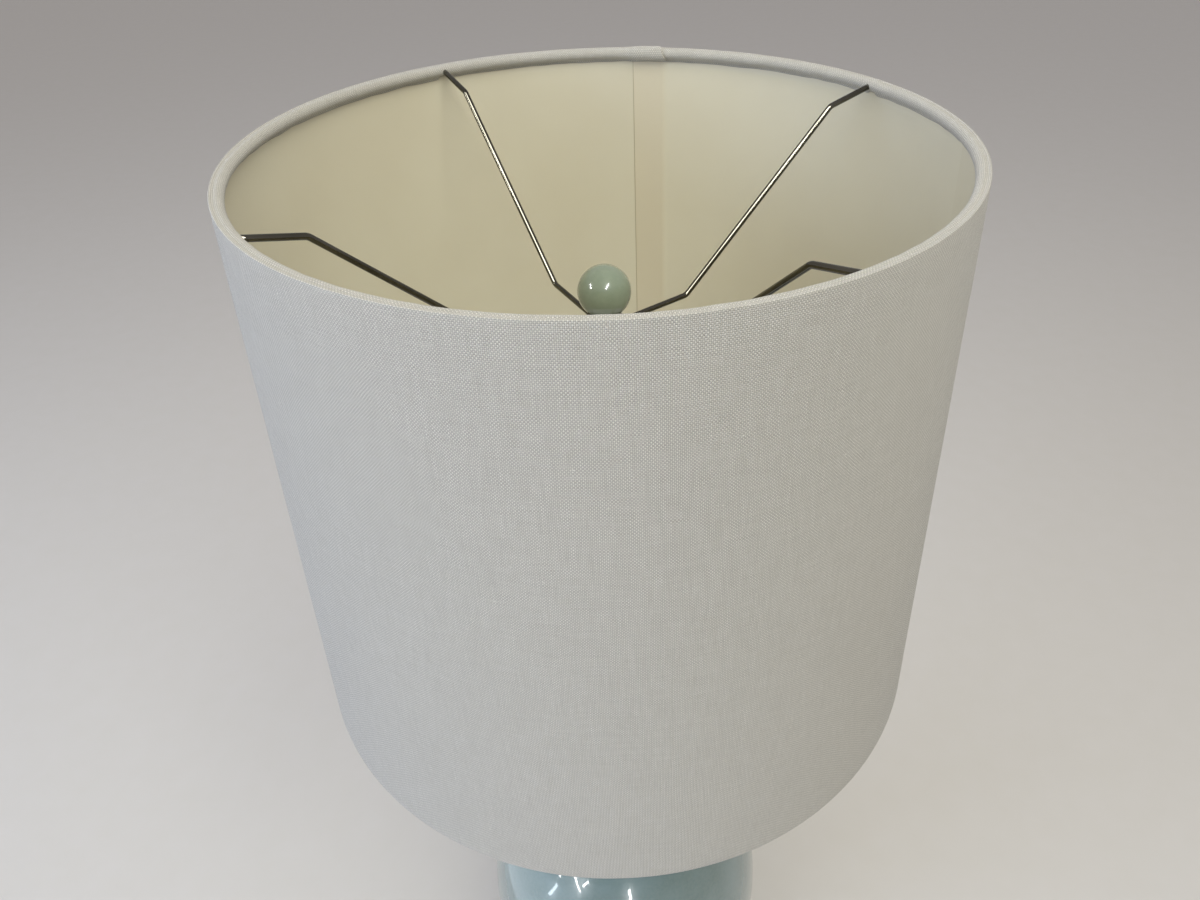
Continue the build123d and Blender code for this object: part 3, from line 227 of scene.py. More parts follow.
# ---- Materials ---------------------------------------------------------------------
class Look:
    """One principled material, with short forms for the nodes that colour it."""

    def __init__(self, name, **uniform):
        self.material = bpy.data.materials.new(name)
        self.material.use_nodes = True
        self.tree = self.material.node_tree
        self.surface = self.tree.nodes["Principled BSDF"]
        for socket, value in uniform.items():
            self.surface.inputs[socket.replace("_", " ")].default_value = value

    def node(self, kind, **settings):
        made = self.tree.nodes.new(kind)
        for setting, value in settings.items():
            setattr(made, setting, value)
        return made

    def feed(self, socket, value):
        """Links a value if it comes from a node, and otherwise sets it."""
        if isinstance(value, bpy.types.NodeSocket):
            self.tree.links.new(value, socket)
        else:
            socket.default_value = value

    def maths(self, operation, *values, clamp=False):
        made = self.node("ShaderNodeMath", operation=operation, use_clamp=clamp)
        for socket, value in zip(made.inputs, values):
            self.feed(socket, value)
        return made.outputs[0]

    def place(self, scale=(1.0, 1.0, 1.0), source="Object"):
        """Object or UV coordinates in metres, stretched by a scale."""
        coordinates = self.node("ShaderNodeTexCoord")
        mapping = self.node("ShaderNodeMapping")
        mapping.inputs["Scale"].default_value = scale
        self.tree.links.new(coordinates.outputs[source], mapping.inputs["Vector"])
        return mapping.outputs[0]

    def axes(self, vector):
        """The X, Y and Z of a vector."""
        made = self.node("ShaderNodeSeparateXYZ")
        self.tree.links.new(vector, made.inputs[0])
        return made.outputs

    def noise(self, vector, scale, detail=2.0, roughness=0.5, distortion=0.0):
        made = self.node("ShaderNodeTexNoise")
        made.inputs["Scale"].default_value = scale
        made.inputs["Detail"].default_value = detail
        made.inputs["Roughness"].default_value = roughness
        made.inputs["Distortion"].default_value = distortion
        self.tree.links.new(vector, made.inputs["Vector"])
        return made.outputs["Fac"]

    def specks(self, vector, scale, size):
        """1 inside small round specks, falling to 0 at their edge."""
        made = self.node("ShaderNodeTexVoronoi")
        made.inputs["Scale"].default_value = scale
        self.tree.links.new(vector, made.inputs["Vector"])
        return self.spread(made.outputs["Distance"], size, size * 0.4, 0.0, 1.0)

    def spread(self, value, low, high, to_low, to_high):
        """Value from low..high as to_low..to_high, held at the ends."""
        made = self.node("ShaderNodeMapRange")
        for socket, number in zip(made.inputs, (value, low, high, to_low, to_high)):
            self.feed(socket, number)
        return made.outputs[0]

    def blend(self, factor, first, second, how="MIX"):
        made = self.node("ShaderNodeMix", data_type="RGBA", blend_type=how)
        self.feed(made.inputs["Factor"], factor)
        colours = [socket for socket in made.inputs if socket.type == "RGBA"]
        self.feed(colours[0], first)
        self.feed(colours[1], second)
        return [socket for socket in made.outputs if socket.type == "RGBA"][0]

    def mottle(self, value, low, high, first, second):
        """First colour where the value is low, second where it is high."""
        return self.blend(self.spread(value, low, high, 0.0, 1.0), first, second)

    def colour(self, value):
        self.feed(self.surface.inputs["Base Color"], value)

    def roughness(self, value):
        self.feed(self.surface.inputs["Roughness"], value)

    def relief(self, height, depth, strength):
        """Bump of a given depth in metres."""
        made = self.node("ShaderNodeBump")
        made.inputs["Strength"].default_value = strength
        made.inputs["Distance"].default_value = depth
        self.feed(made.inputs["Height"], height)
        self.feed(self.surface.inputs["Normal"], made.outputs["Normal"])


def weave(look, pitch):
    """Plain weave over UV metres: thread height, thread tone and which thread is on top."""
    cloth = look.axes(look.place(source="UV"))
    across = thread_count(look, cloth["X"], pitch, (1.0, 0.25, 1.0))
    along = thread_count(look, cloth["Y"], pitch, (0.25, 1.0, 1.0))
    warp_cell = look.maths("FLOOR", across)
    weft_cell = look.maths("FLOOR", along)
    warp_round = thread_round(look, across)
    weft_round = thread_round(look, along)
    parity = look.maths("PINGPONG", look.maths("ADD", warp_cell, weft_cell), 1.0)
    warp_top = look.maths("MULTIPLY", warp_round, look.spread(weft_round, 0.0, 1.0, THREAD_DIP, 1.0))
    weft_top = look.maths("MULTIPLY", weft_round, look.spread(warp_round, 0.0, 1.0, THREAD_DIP, 1.0))
    warp_height = look.maths("MULTIPLY", warp_top, look.spread(parity, 0.0, 1.0, THREAD_UNDER, 1.0))
    weft_height = look.maths("MULTIPLY", weft_top, look.spread(parity, 0.0, 1.0, 1.0, THREAD_UNDER))
    height = look.maths("MAXIMUM", warp_height, weft_height)
    warp_tone = thread_tone(look, warp_cell, cloth["Y"])
    weft_tone = thread_tone(look, weft_cell, cloth["X"])
    tone = look.node("ShaderNodeMix")
    look.feed(tone.inputs[0], parity)
    look.feed(tone.inputs[2], weft_tone)
    look.feed(tone.inputs[3], warp_tone)
    return height, tone.outputs[0], parity


def thread_count(look, position, pitch, stretch):
    """Threads up to a position in metres, straying a little from straight."""
    wander = look.noise(look.place(stretch, source="UV"), WANDER_SCALE)
    straight = look.maths("DIVIDE", position, pitch)
    return look.maths("ADD", straight, look.maths("MULTIPLY", wander, THREAD_WANDER))


def thread_round(look, position):
    """Rounded top of a thread across its width: 1 on its middle, 0 in the gap."""
    side = look.maths("SUBTRACT", look.maths("FRACT", position), 0.5)
    square = look.maths("MULTIPLY", look.maths("MULTIPLY", side, side), 4.0)
    return look.maths("SUBTRACT", 1.0, square, clamp=True)


def thread_tone(look, thread, length):
    """Uneven tone along one thread, different for each."""
    point = look.node("ShaderNodeCombineXYZ")
    look.feed(point.inputs[0], look.maths("MULTIPLY", thread, THREADS_APART))
    look.feed(point.inputs[1], look.maths("MULTIPLY", length, TONE_SCALE))
    return look.noise(point.outputs[0], 1.0, detail=3.0, roughness=0.6)


def linen(name, light, dark, pitch):
    """White linen: plain weave with thick and thin yarn, pale nubs, a few darker flecks, painted shade in
    the gaps and painted light and shade on the crossings.
    """
    look = Look(name, Roughness=0.85, Sheen_Weight=0.25, Sheen_Roughness=0.5, Specular_IOR_Level=0.25)
    height, tone, parity = weave(look, pitch)
    colour = look.mottle(tone, 0.28, 0.72, dark, light)
    # painted shade in the gaps between threads, where they dip under each other
    painted_gap_shade = look.spread(height, 0.05, 0.65, 0.52, 1.0)
    # painted light and shade on the crossings: lighter where the warp is on top, darker where the weft is,
    # by a wandering amount
    strong = look.noise(look.place(source="UV"), 210.0)
    contrast = look.spread(strong, 0.3, 0.7, 0.15, 0.37)
    side = look.maths("MULTIPLY", look.maths("SUBTRACT", parity, 0.5), contrast)
    painted_crossing_light = look.maths("ADD", CROSSING_PAINTED_LIGHT, side)
    cloud = look.noise(look.place(source="UV"), 18.0, detail=3.0)
    patches = look.spread(cloud, 0.3, 0.7, 0.99, 1.0)
    # painted shade and light of the weave, times faint random patches of tone
    shade = look.maths("MULTIPLY", look.maths("MULTIPLY", painted_gap_shade, painted_crossing_light), patches)
    grey = look.node("ShaderNodeCombineColor")
    for socket in grey.inputs:
        look.feed(socket, shade)
    colour = look.blend(1.0, colour, grey.outputs[0], "MULTIPLY")
    nub = look.specks(look.place((1.0, 2.2, 1.0), source="UV"), 85.0, 0.055)
    colour = look.blend(look.maths("MULTIPLY", nub, 0.6), colour, paint(238, 235, 225))
    fleck = look.specks(look.place((2.6, 1.0, 1.0), source="UV"), 47.0, 0.03)
    colour = look.blend(look.maths("MULTIPLY", fleck, 0.35), colour, paint(138, 122, 110))
    look.colour(colour)
    look.relief(look.maths("ADD", height, look.maths("MULTIPLY", nub, NUB_HEIGHT)), 0.26 * MM, 0.9)
    return look.material


def styrene():
    """Ivory lining sheet: satin, faintly mottled, with painted shade on its lap, which ends in a painted
    shadow line.
    """
    look = Look("ivory_styrene", Specular_IOR_Level=0.35)
    cloud = look.noise(look.place(source="UV"), 9.0, detail=3.0)
    colour = look.mottle(cloud, 0.35, 0.65, paint(216, 210, 187), paint(221, 216, 194))
    reach = look.axes(look.place(source="UV"))["X"]
    lap_from, lap_to = (radians(bearing) * HEM_R for bearing in (LAP_FROM_DEG, LAP_TO_DEG))
    # painted shade on the lap, where two plies of the sheet let less light through
    begun = look.spread(reach, lap_from - 1.0 * MM, lap_from + 2.5 * MM, 0.0, 1.0)
    ended = look.spread(reach, lap_to, lap_to + 0.3 * MM, 1.0, 0.0)
    colour = look.blend(look.maths("MULTIPLY", begun, ended), colour, paint(216, 208, 184))
    # painted shadow line along the lap's sharp edge, where the second ply ends
    edge = look.spread(reach, lap_to - 0.1 * MM, lap_to + 0.25 * MM, 0.0, 1.0)
    past = look.spread(reach, lap_to + 0.35 * MM, lap_to + 0.7 * MM, 1.0, 0.0)
    look.colour(look.blend(look.maths("MULTIPLY", edge, past), colour, paint(182, 172, 142)))
    look.roughness(look.spread(look.noise(look.place(source="UV"), 40.0), 0.3, 0.7, 0.42, 0.55))
    look.relief(look.noise(look.place(source="UV"), 260.0, detail=4.0), 0.04 * MM, 0.35)
    return look.material


def glaze(name, light, dark, warm):
    """Celadon glaze: pooled colour, fine mottling under a clear glassy coat."""
    look = Look(name, Roughness=0.22, Coat_Weight=0.8, Coat_Roughness=0.018, Specular_IOR_Level=0.5)
    vector = look.place()
    pool = look.noise(vector, 26.0, detail=4.0, roughness=0.55)
    fine = look.noise(vector, 420.0, detail=4.0, roughness=0.65)
    colour = look.mottle(pool, 0.32, 0.68, dark, light)
    look.colour(look.blend(look.spread(fine, 0.35, 0.75, 0.0, 0.35), colour, warm))
    look.relief(look.noise(vector, 60.0), 0.12 * MM, 0.25)
    return look.material


def metal(name, light, dark, rough):
    """Plated or plain metal with fine marks and a little tarnish."""
    look = Look(name, Metallic=1.0)
    tarnish = look.noise(look.place(), 55.0, detail=4.0)
    look.colour(look.mottle(tarnish, 0.3, 0.7, dark, light))
    marks = look.noise(look.place(), 900.0, detail=3.0)
    look.roughness(look.spread(marks, 0.3, 0.7, rough * 0.7, rough * 1.35))
    look.relief(marks, 0.02 * MM, 0.3)
    return look.material


def walnut():
    """Dark stained turned wood under a thin satin lacquer."""
    look = Look("stained_wood", Coat_Weight=0.35, Coat_Roughness=0.18, Specular_IOR_Level=0.4)
    grain = look.noise(look.place((3.0, 60.0, 60.0)), 3.0, detail=6.0, roughness=0.62, distortion=0.6)
    pores = look.noise(look.place((18.0, 700.0, 700.0)), 2.0)
    colour = look.mottle(grain, 0.3, 0.7, paint(38, 24, 17), paint(74, 47, 31))
    look.colour(look.blend(look.spread(pores, 0.62, 0.72, 0.0, 0.7), colour, paint(22, 14, 10)))
    look.roughness(look.spread(grain, 0.3, 0.7, 0.34, 0.46))
    look.relief(pores, 0.08 * MM, 0.25)
    return look.material


def felt():
    """Dark green pressed felt."""
    look = Look("green_felt", Roughness=0.95, Sheen_Weight=0.5, Sheen_Roughness=0.6)
    fibre = look.noise(look.place(), 900.0, detail=6.0, roughness=0.7)
    look.colour(look.mottle(fibre, 0.3, 0.7, paint(34, 46, 38), paint(58, 72, 60)))
    look.relief(fibre, 0.3 * MM, 0.8)
    return look.material


def moulded(name, light, dark, rough):
    """Moulded plastic, card or rubber with a fine even texture."""
    look = Look(name, Specular_IOR_Level=0.45)
    fine = look.noise(look.place(), 700.0, detail=4.0, roughness=0.6)
    look.colour(look.mottle(fine, 0.3, 0.7, dark, light))
    look.roughness(look.spread(fine, 0.3, 0.7, rough * 0.85, rough * 1.15))
    look.relief(fine, 0.05 * MM, 0.4)
    return look.material


def cast_iron():
    """Rough sand-cast iron."""
    look = Look("cast_iron", Metallic=0.75)
    sand = look.noise(look.place(), 380.0, detail=6.0, roughness=0.7)
    look.colour(look.mottle(sand, 0.3, 0.7, paint(36, 35, 34), paint(66, 63, 60)))
    look.roughness(look.spread(sand, 0.3, 0.7, 0.55, 0.75))
    look.relief(sand, 0.4 * MM, 0.7)
    return look.material


def frosted():
    """Inside-frosted lamp glass, white and even, with a faint etched grain."""
    look = Look("frosted_glass", Roughness=0.3, Transmission_Weight=0.25, IOR=1.5, Specular_IOR_Level=0.5)
    etch = look.noise(look.place(), 600.0, detail=3.0)
    look.colour(look.mottle(etch, 0.3, 0.7, paint(228, 228, 224), paint(240, 240, 237)))
    look.relief(etch, 0.03 * MM, 0.3)
    return look.material


LINEN = linen("linen_weave", paint(220, 217, 207), paint(200, 197, 186), THREAD_PITCH)
STYRENE = styrene()
BALL_GLAZE = glaze("celadon_ball_glaze", paint(135, 148, 129), paint(121, 134, 112), paint(147, 157, 137))
JAR_GLAZE = glaze("celadon_jar_glaze", paint(116, 138, 138), paint(101, 123, 120), paint(131, 147, 142))
NICKEL = metal("dull_nickel", paint(106, 103, 92), paint(84, 82, 72), 0.1)
BRIGHT_NICKEL = metal("bright_nickel", paint(178, 176, 168), paint(148, 146, 138), 0.16)
BRASS = metal("raw_brass", paint(176, 146, 86), paint(140, 112, 62), 0.3)
ZINC = metal("zinc_steel", paint(150, 152, 154), paint(116, 118, 120), 0.38)
ALUMINIUM = metal("bulb_metal", paint(190, 190, 190), paint(160, 160, 160), 0.28)

CAD_LOOKS = {
    "felt_pad": felt(),
    "wood_base": walnut(),
    "cord_bushing": moulded("black_nylon", paint(34, 34, 34), paint(24, 24, 24), 0.45),
    "base_weight": cast_iron(),
    "base_washer": ZINC,
    "base_nut": ZINC,
    "lamp_pipe": ZINC,
    "cap_gasket": moulded("black_rubber", paint(30, 30, 30), paint(20, 20, 20), 0.7),
    "vase_cap": BRIGHT_NICKEL,
    "neck_spindle": BRIGHT_NICKEL,
    "check_ring": BRIGHT_NICKEL,
    "riser_tube": BRIGHT_NICKEL,
    "harp_saddle": BRIGHT_NICKEL,
    "harp_wire": BRIGHT_NICKEL,
    "harp_stud": BRIGHT_NICKEL,
    "ferrule_left": BRIGHT_NICKEL,
    "ferrule_right": BRIGHT_NICKEL,
    "socket_cap": BRIGHT_NICKEL,
    "cap_screw": ZINC,
    "socket_shell": BRIGHT_NICKEL,
    "socket_liner": moulded("grey_card", paint(120, 112, 96), paint(98, 90, 76), 0.85),
    "socket_core": moulded("black_phenolic", paint(32, 30, 29), paint(22, 20, 19), 0.35),
    "terminal_screws": BRASS,
    "screw_shell": BRASS,
    "centre_contact": BRASS,
    "switch_shaft": BRASS,
    "switch_knob": moulded("black_phenolic_knob", paint(30, 28, 27), paint(20, 18, 18), 0.28),
    "bulb_cap": ALUMINIUM,
    "bulb_contact": moulded("black_glass", paint(28, 28, 32), paint(18, 18, 20), 0.12),
    "bulb_globe": frosted(),
    "top_ring": ZINC,
    "bottom_ring": ZINC,
    "spider_hub": NICKEL,
    "finial_collar": BRIGHT_NICKEL,
    "jar_body": JAR_GLAZE,
    "jar_lid": JAR_GLAZE,
}


# ---- Mesh building -----------------------------------------------------------------
def add_piece(name, points, faces, uvs, material, body, slot, *replaced):
    """A mesh piece in the lamp's own frame, riding on a body in place of CAD nodes."""
    mesh = bpy.data.meshes.new(name)
    mesh.from_pydata(points, [], faces)
    layer = mesh.uv_layers.new(name="UVMap")
    for polygon, corners in zip(mesh.polygons, uvs):
        for loop, corner in zip(polygon.loop_indices, corners):
            layer.data[loop].uv = corner
    mesh.polygons.foreach_set("use_smooth", [True] * len(mesh.polygons))
    mesh.materials.append(material)
    mesh.validate()
    piece = bpy.data.objects.new(name, mesh)
    bpy.context.scene.collection.objects.link(piece)
    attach(piece, body)
    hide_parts(*replaced)
    return piece


def weld(piece):
    """Joins points that fall together, as on the axis, and turns all faces outwards."""
    edit = bmesh.new()
    edit.from_mesh(piece.data)
    bmesh.ops.remove_doubles(edit, verts=edit.verts, dist=SAME_POINT)
    bmesh.ops.recalc_face_normals(edit, faces=edit.faces)
    edit.to_mesh(piece.data)
    edit.free()
    return piece


def between(first, last, share):
    """The value at a share of the way from first to last."""
    return first + (last - first) * share


def smooth_step(value, low, high):
    """0 up to low, 1 from high on, and an even S between them."""
    share = min(max((value - low) / (high - low), 0.0), 1.0)
    return share * share * (3 - 2 * share)


def swept_ring(section, bearings, reach):
    """Points, faces and UVs of a closed section turned round the axis.

    section(bearing in degrees) gives (radius, height) points, as many for each bearing.
    UV is in metres: bearing times reach, and the length along the section."""
    turns = [section(bearing) for bearing in bearings]
    count = len(turns[0])
    points = [(r * cos(radians(b)), r * sin(radians(b)), z)
              for b, turn in zip(bearings, turns) for r, z in turn]
    lengths = [0.0]
    for (r1, z1), (r2, z2) in zip(turns[0], turns[0][1:] + turns[0][:1]):
        lengths.append(lengths[-1] + hypot(r2 - r1, z2 - z1))
    faces, uvs = [], []
    next_bearings = bearings[1:] + [bearings[0] + 360]
    for i, (bearing, next_bearing) in enumerate(zip(bearings, next_bearings)):
        j = (i + 1) % len(bearings)
        u1 = radians(bearing) * reach
        u2 = radians(next_bearing) * reach
        for k in range(count):
            m = (k + 1) % count
            faces.append((i * count + k, j * count + k, j * count + m, i * count + m))
            uvs.append(((u1, lengths[k]), (u2, lengths[k]), (u2, lengths[k + 1]), (u1, lengths[k + 1])))
    return points, faces, uvs


def arc(centre_r, centre_z, radius, from_deg, to_deg, count):
    """Points of a section's arc; 0 degrees is outwards, 90 is up."""
    angles = [radians(between(from_deg, to_deg, i / count)) for i in range(count + 1)]
    return [(centre_r + radius * cos(angle), centre_z + radius * sin(angle)) for angle in angles]


def bearings_round(step, fine=()):
    """Bearings of one full turn, with a finer step inside the given (from, to, step) ranges."""
    marks = {round(i * step, 4) for i in range(int(round(360 / step)))}
    for low, high, small in fine:
        count = int(round((high - low) / small))
        marks |= {round(low + i * small, 4) for i in range(count + 1)}
    return sorted(marks)


def ripple(kind, bearing, height=0.0):
    """One kind of unevenness at a place; it closes on itself round the axis."""
    reach = RIPPLE_R / kind.wave
    place = Vector((reach * cos(radians(bearing)) + kind.seed * SEEDS_APART,
                    reach * sin(radians(bearing)), height / kind.wave))
    return kind.amount * noise.noise(place)


# ---- Shade -------------------------------------------------------------------------
def wall_r(height, depth=0.0):
    """Radius of the shade's wall at a height, at a depth behind the fabric's face."""
    return RIM_R + (HEM_R - RIM_R) * (RIM_Z - height) / SHADE_DROP - depth


def on_wall(depth, heights):
    """Section points at some heights, at a depth behind the fabric's face."""
    return [(wall_r(z, depth), z) for z in heights]


def near_arm(bearing):
    """1 beside a spider arm, falling to 0 a few millimetres away."""
    closest = min(abs((bearing - angle + 180) % 360 - 180) for angle in ARM_ANGLES.values())
    return 1 - smooth_step(closest, NOTCH_FULL_DEG, NOTCH_END_DEG)


def seam_rise(bearing):
    """Extra thickness of the overlapped fabric on the wall, sharp on one side."""
    sharp = smooth_step(bearing, LAP_FROM_DEG, LAP_FROM_DEG + CUT_EDGE_DEG)
    soft = smooth_step(bearing, SEAM_END_DEG, SEAM_END_DEG + SEAM_FADE_DEG)
    return SEAM_RISE * (sharp - soft)


def joint_rise(bearing, angle):
    """Extra thickness where the fabric's end overlaps on the rim, ending in a slanted edge."""
    slant = JOINT_DEG - JOINT_SLANT_DEG * (angle - 90) / 180
    sharp = smooth_step(bearing, slant, slant + CUT_EDGE_DEG)
    soft = smooth_step(bearing, JOINT_FADE_FROM_DEG, JOINT_FADE_TO_DEG)
    return JOINT_RISE * sharp * (1 - soft)


def rim_roll(bearing):
    """Fabric from the tuck under the top wire, round it, and over the flat top to the fold."""
    centre_r = wall_r(WIRE_Z) - RIM_ROLL_R
    notch = near_arm(bearing)
    plump = ripple(RIM_FINE, bearing) + ripple(RIM_LONG, bearing, RIM_LONG_LEVEL)
    tuck_end = TUCK_LEG_Z - TUCK_LEG * (1 - NOTCH_CUT * notch) + ripple(TUCK_EDGE, bearing)
    leg_rows = (tuck_end, between(tuck_end, TUCK_TOP_Z, TUCK_LEG_BEND))
    section = on_wall(LINING_FACE + HEM_PLY, leg_rows)
    for i in range(ROLL_STEPS):
        angle = between(ROLL_END_DEG, 90, i / ROLL_STEPS)
        pull = smooth_step(angle, TUCK_PULL_FROM_DEG, ROLL_END_DEG) * (TUCK_PULL + NOTCH_PULL * notch)
        radius = RIM_ROLL_R + plump - RIM_SLACK + joint_rise(bearing, angle) - pull
        section.append((centre_r + radius * cos(radians(angle)), WIRE_Z + radius * sin(radians(angle))))
    top_z = WIRE_Z + RIM_ROLL_R + plump - RIM_SLACK + joint_rise(bearing, 90)
    fold_r = wall_r(RIM_Z) + seam_rise(bearing) - FOLD_R
    fold_z = RIM_Z - FOLD_R + FOLD_SHARE * (plump + joint_rise(bearing, FOLD_DEG))
    for i in range(TOP_STEPS):
        share = i / TOP_STEPS
        dip = FOLD_DIP * sin(pi * share) ** 2
        section.append((between(centre_r, fold_r, share), between(top_z, fold_z + FOLD_R, share) - dip))
    section += arc(fold_r, fold_z, FOLD_R, *FOLD_ARC)
    return section, tuck_end


def hem_roll(bearing):
    """Fabric round the lower wire, from the wall to the flange, sagging a little under the wire."""
    seam = seam_rise(bearing)
    sag = ripple(HEM_SAG, bearing)
    round_wire = arc(wall_r(HEM_Z) - HEM_ROLL_R, HEM_Z, HEM_ROLL_R, *HEM_ARC)
    return [(r + seam, z + (sag if z < HEM_Z else 0.0)) for r, z in round_wire]


def cover_section(bearing):
    """Fabric cover: tucked and rolled over the top wire, down the wall, turned under at the hem."""
    section, tuck_end = rim_roll(bearing)
    for row in range(1, WALL_ROWS + 1):
        z = between(WALL_TOP_Z, HEM_Z, row / WALL_ROWS)
        uneven = ripple(WALL_UNEVEN, bearing, z) * smooth_step(row, 0, WALL_EASE_ROWS)
        section.append((wall_r(z) + seam_rise(bearing) + uneven, z))
    section += hem_roll(bearing)
    flange_low = HEM_Z + HEM_ROLL_R + FLANGE_CLEAR
    flange_top = HEM_Z + HEM_ROLL_R + HEM_FLANGE + ripple(FLANGE_EDGE, bearing)
    flange_rows = (flange_low, (flange_low + flange_top) / 2, flange_top)
    section += on_wall(LINING_FACE + HEM_PLY, flange_rows)
    flange_back = on_wall(LINING_FACE + HIDDEN_GAP, reversed(flange_rows))
    section += [(r, z + FLANGE_TIP) for r, z in flange_back]
    section += arc(wall_r(HEM_Z) - HEM_ROLL_R, HEM_Z, HEM_ROLL_R - ROLL_PLY, *HEM_BACK_ARC)
    back_rows = [between(HEM_Z, RIM_Z - CLOTH, row / WALL_BACK_ROWS) for row in range(1, WALL_BACK_ROWS + 1)]
    section += on_wall(CLOTH - HIDDEN_GAP, back_rows)
    section += arc(wall_r(WIRE_Z) - RIM_ROLL_R, WIRE_Z, RIM_ROLL_R - ROLL_PLY, *RIM_BACK_ARC)
    section += on_wall(LINING_FACE + TUCK_GAP, (TUCK_TOP_Z, tuck_end - TUCK_TIP))
    return section


def fabric_cover():
    """The linen on the shade, with finer steps at its seam, the rim's joint and the arms."""
    fine = [
        (LAP_FROM_DEG - 0.2, LAP_FROM_DEG + 0.4, 0.06),
        (SEAM_END_DEG - 0.4, SEAM_END_DEG + 1.2, 0.2),
        (JOINT_DEG - 1.6, JOINT_DEG + 1.4, 0.08),
    ]
    fine += [(angle % 360 - 1.5, angle % 360 + 1.5, 0.15) for angle in ARM_ANGLES.values()]
    mesh = swept_ring(cover_section, bearings_round(COVER_STEP_DEG, fine), HEM_R)
    return weld(add_piece("linen_cover", *mesh, LINEN, "shade", "linen", "shade_fabric", "top_trim"))


def lining_section(bearing):
    """Styrene sheet, with a second ply at the lap: one sharp edge and one that fades out."""
    lap = LAP_THICK * (smooth_step(bearing, *LAP_BEGINS_DEG) - smooth_step(bearing, *LAP_ENDS_DEG))
    inner = []
    for row in range(LINING_ROWS + 1):
        z = between(LINING_LOW_Z, LINING_TOP_Z, row / LINING_ROWS)
        free = smooth_step(z, *ABOVE_FLANGE_Z) * (1 - smooth_step(z, *BELOW_TUCK_Z))
        depth = LINING_FACE + free * (lap + ripple(LINING_WAVES, bearing, z))
        inner.append((wall_r(z, depth), z))
    back_rows = [between(LINING_TOP_Z, LINING_LOW_Z, i / LINING_BACK_ROWS)
                 for i in range(LINING_BACK_ROWS + 1)]
    return inner + on_wall(CLOTH + LINING_GAP, back_rows)


def lining():
    """The ivory sheet inside the shade, with finer steps at the edges of its lap."""
    fine = [(LAP_FROM_DEG - 0.8, LAP_FROM_DEG + 1.2, 0.2), (LAP_TO_DEG - 0.3, LAP_TO_DEG + 0.3, 0.05)]
    mesh = swept_ring(lining_section, bearings_round(LINING_STEP_DEG, fine), HEM_R)
    return weld(add_piece("styrene_lining", *mesh, STYRENE, "shade", "styrene", "shade_liner"))


# ---- Spider ------------------------------------------------------------------------
def rounded_path(corners, bend_r, arc_step, run_step):
    """Points along straight runs joined by tangent arcs."""
    path = [corners[0]]
    for before, corner, after in zip(corners, corners[1:], corners[2:]):
        way_in = (corner - before).normalized()
        way_out = (after - corner).normalized()
        turn = way_in.angle(way_out)
        cut = bend_r * tan(turn / 2)
        axis = way_in.cross(way_out).normalized()
        centre = corner - way_in * cut + axis.cross(way_in) * bend_r
        arm = corner - way_in * cut - centre
        steps = max(4, int(turn * bend_r / arc_step))
        for i in range(steps + 1):
            path.append(centre + Matrix.Rotation(turn * i / steps, 3, axis) @ arm)
    path.append(corners[-1])
    full = []
    for start, end in zip(path, path[1:]):
        parts = max(1, int((end - start).length / run_step))
        full += [start.lerp(end, i / parts) for i in range(parts)]
    return full + [path[-1]]


def tube(path, radius, sides):
    """Points, faces and UVs of a round wire along a path that lies in one upright plane."""
    across = (path[-1] - path[0]).cross(Vector((0, 0, 1))).normalized()
    points, lengths = [], [0.0]
    for i, point in enumerate(path):
        ahead = (path[min(i + 1, len(path) - 1)] - path[max(i - 1, 0)]).normalized()
        up = across.cross(ahead).normalized()
        for k in range(sides):
            angle = 2 * pi * k / sides
            points.append(point + (across * cos(angle) + up * sin(angle)) * radius)
        if i:
            lengths.append(lengths[-1] + (point - path[i - 1]).length)
    faces, uvs = [], []
    for i in range(len(path) - 1):
        for k in range(sides):
            m = (k + 1) % sides
            faces.append((i * sides + k, i * sides + m, (i + 1) * sides + m, (i + 1) * sides + k))
            around = [2 * pi * radius * (k + step) / sides for step in (0, 1)]
            uvs.append(((around[0], lengths[i]), (around[1], lengths[i]),
                        (around[1], lengths[i + 1]), (around[0], lengths[i + 1])))
    last = (len(path) - 1) * sides
    for ring, order in ((0, -1), (last, 1)):
        cap = tuple(range(ring, ring + sides))[::order]
        faces.append(cap)
        uvs.append(tuple((0.0, 0.0) for _ in cap))
    return points, faces, uvs


def spider_arms():
    """Four bent wires from the top ring down to the hub."""
    arms = []
    for place, angle in ARM_ANGLES.items():
        corners = [Vector((r * MM * cos(radians(angle)), r * MM * sin(radians(angle)), RIM_Z + z * MM))
                   for r, z in ARM_CORNERS]
        path = rounded_path(corners, ARM_BEND_R, ARM_ARC_STEP, ARM_RUN_STEP)
        mesh = tube(path, ARM_WIRE_R, ARM_SIDES)
        node = "spider_arm_" + place
        arms.append(add_piece("arm_" + place, *mesh, NICKEL, "shade", "polished_nickel", node))
    return arms


# ---- Finial ------------------------------------------------------------------------
def ball_section(bearing):
    """Glazed ball, a little uneven, closed by its flat seat on the collar."""
    seat = degrees(acos(COLLAR_NECK_R / BALL_R))
    section = [(0.0, BALL_Z - BALL_R * sin(radians(seat)))]
    for row in range(BALL_ROWS + 1):
        angle = radians(between(-seat, 90, row / BALL_ROWS))
        uneven = ripple(BALL_UNEVEN, bearing, BALL_LEVEL * sin(angle)) * cos(angle)
        radius = BALL_R * (1 + uneven)
        section.append((radius * cos(angle), BALL_Z + radius * sin(angle)))
    section[-1] = (0.0, BALL_Z + BALL_R)
    return section


def finial_ball():
    """The ball as one closed mesh in place of the plain one."""
    mesh = swept_ring(ball_section, bearings_round(BALL_STEP_DEG), BALL_R)
    return weld(add_piece("glazed_ball", *mesh, BALL_GLAZE, "finial", "celadon_ball", "finial_ball"))


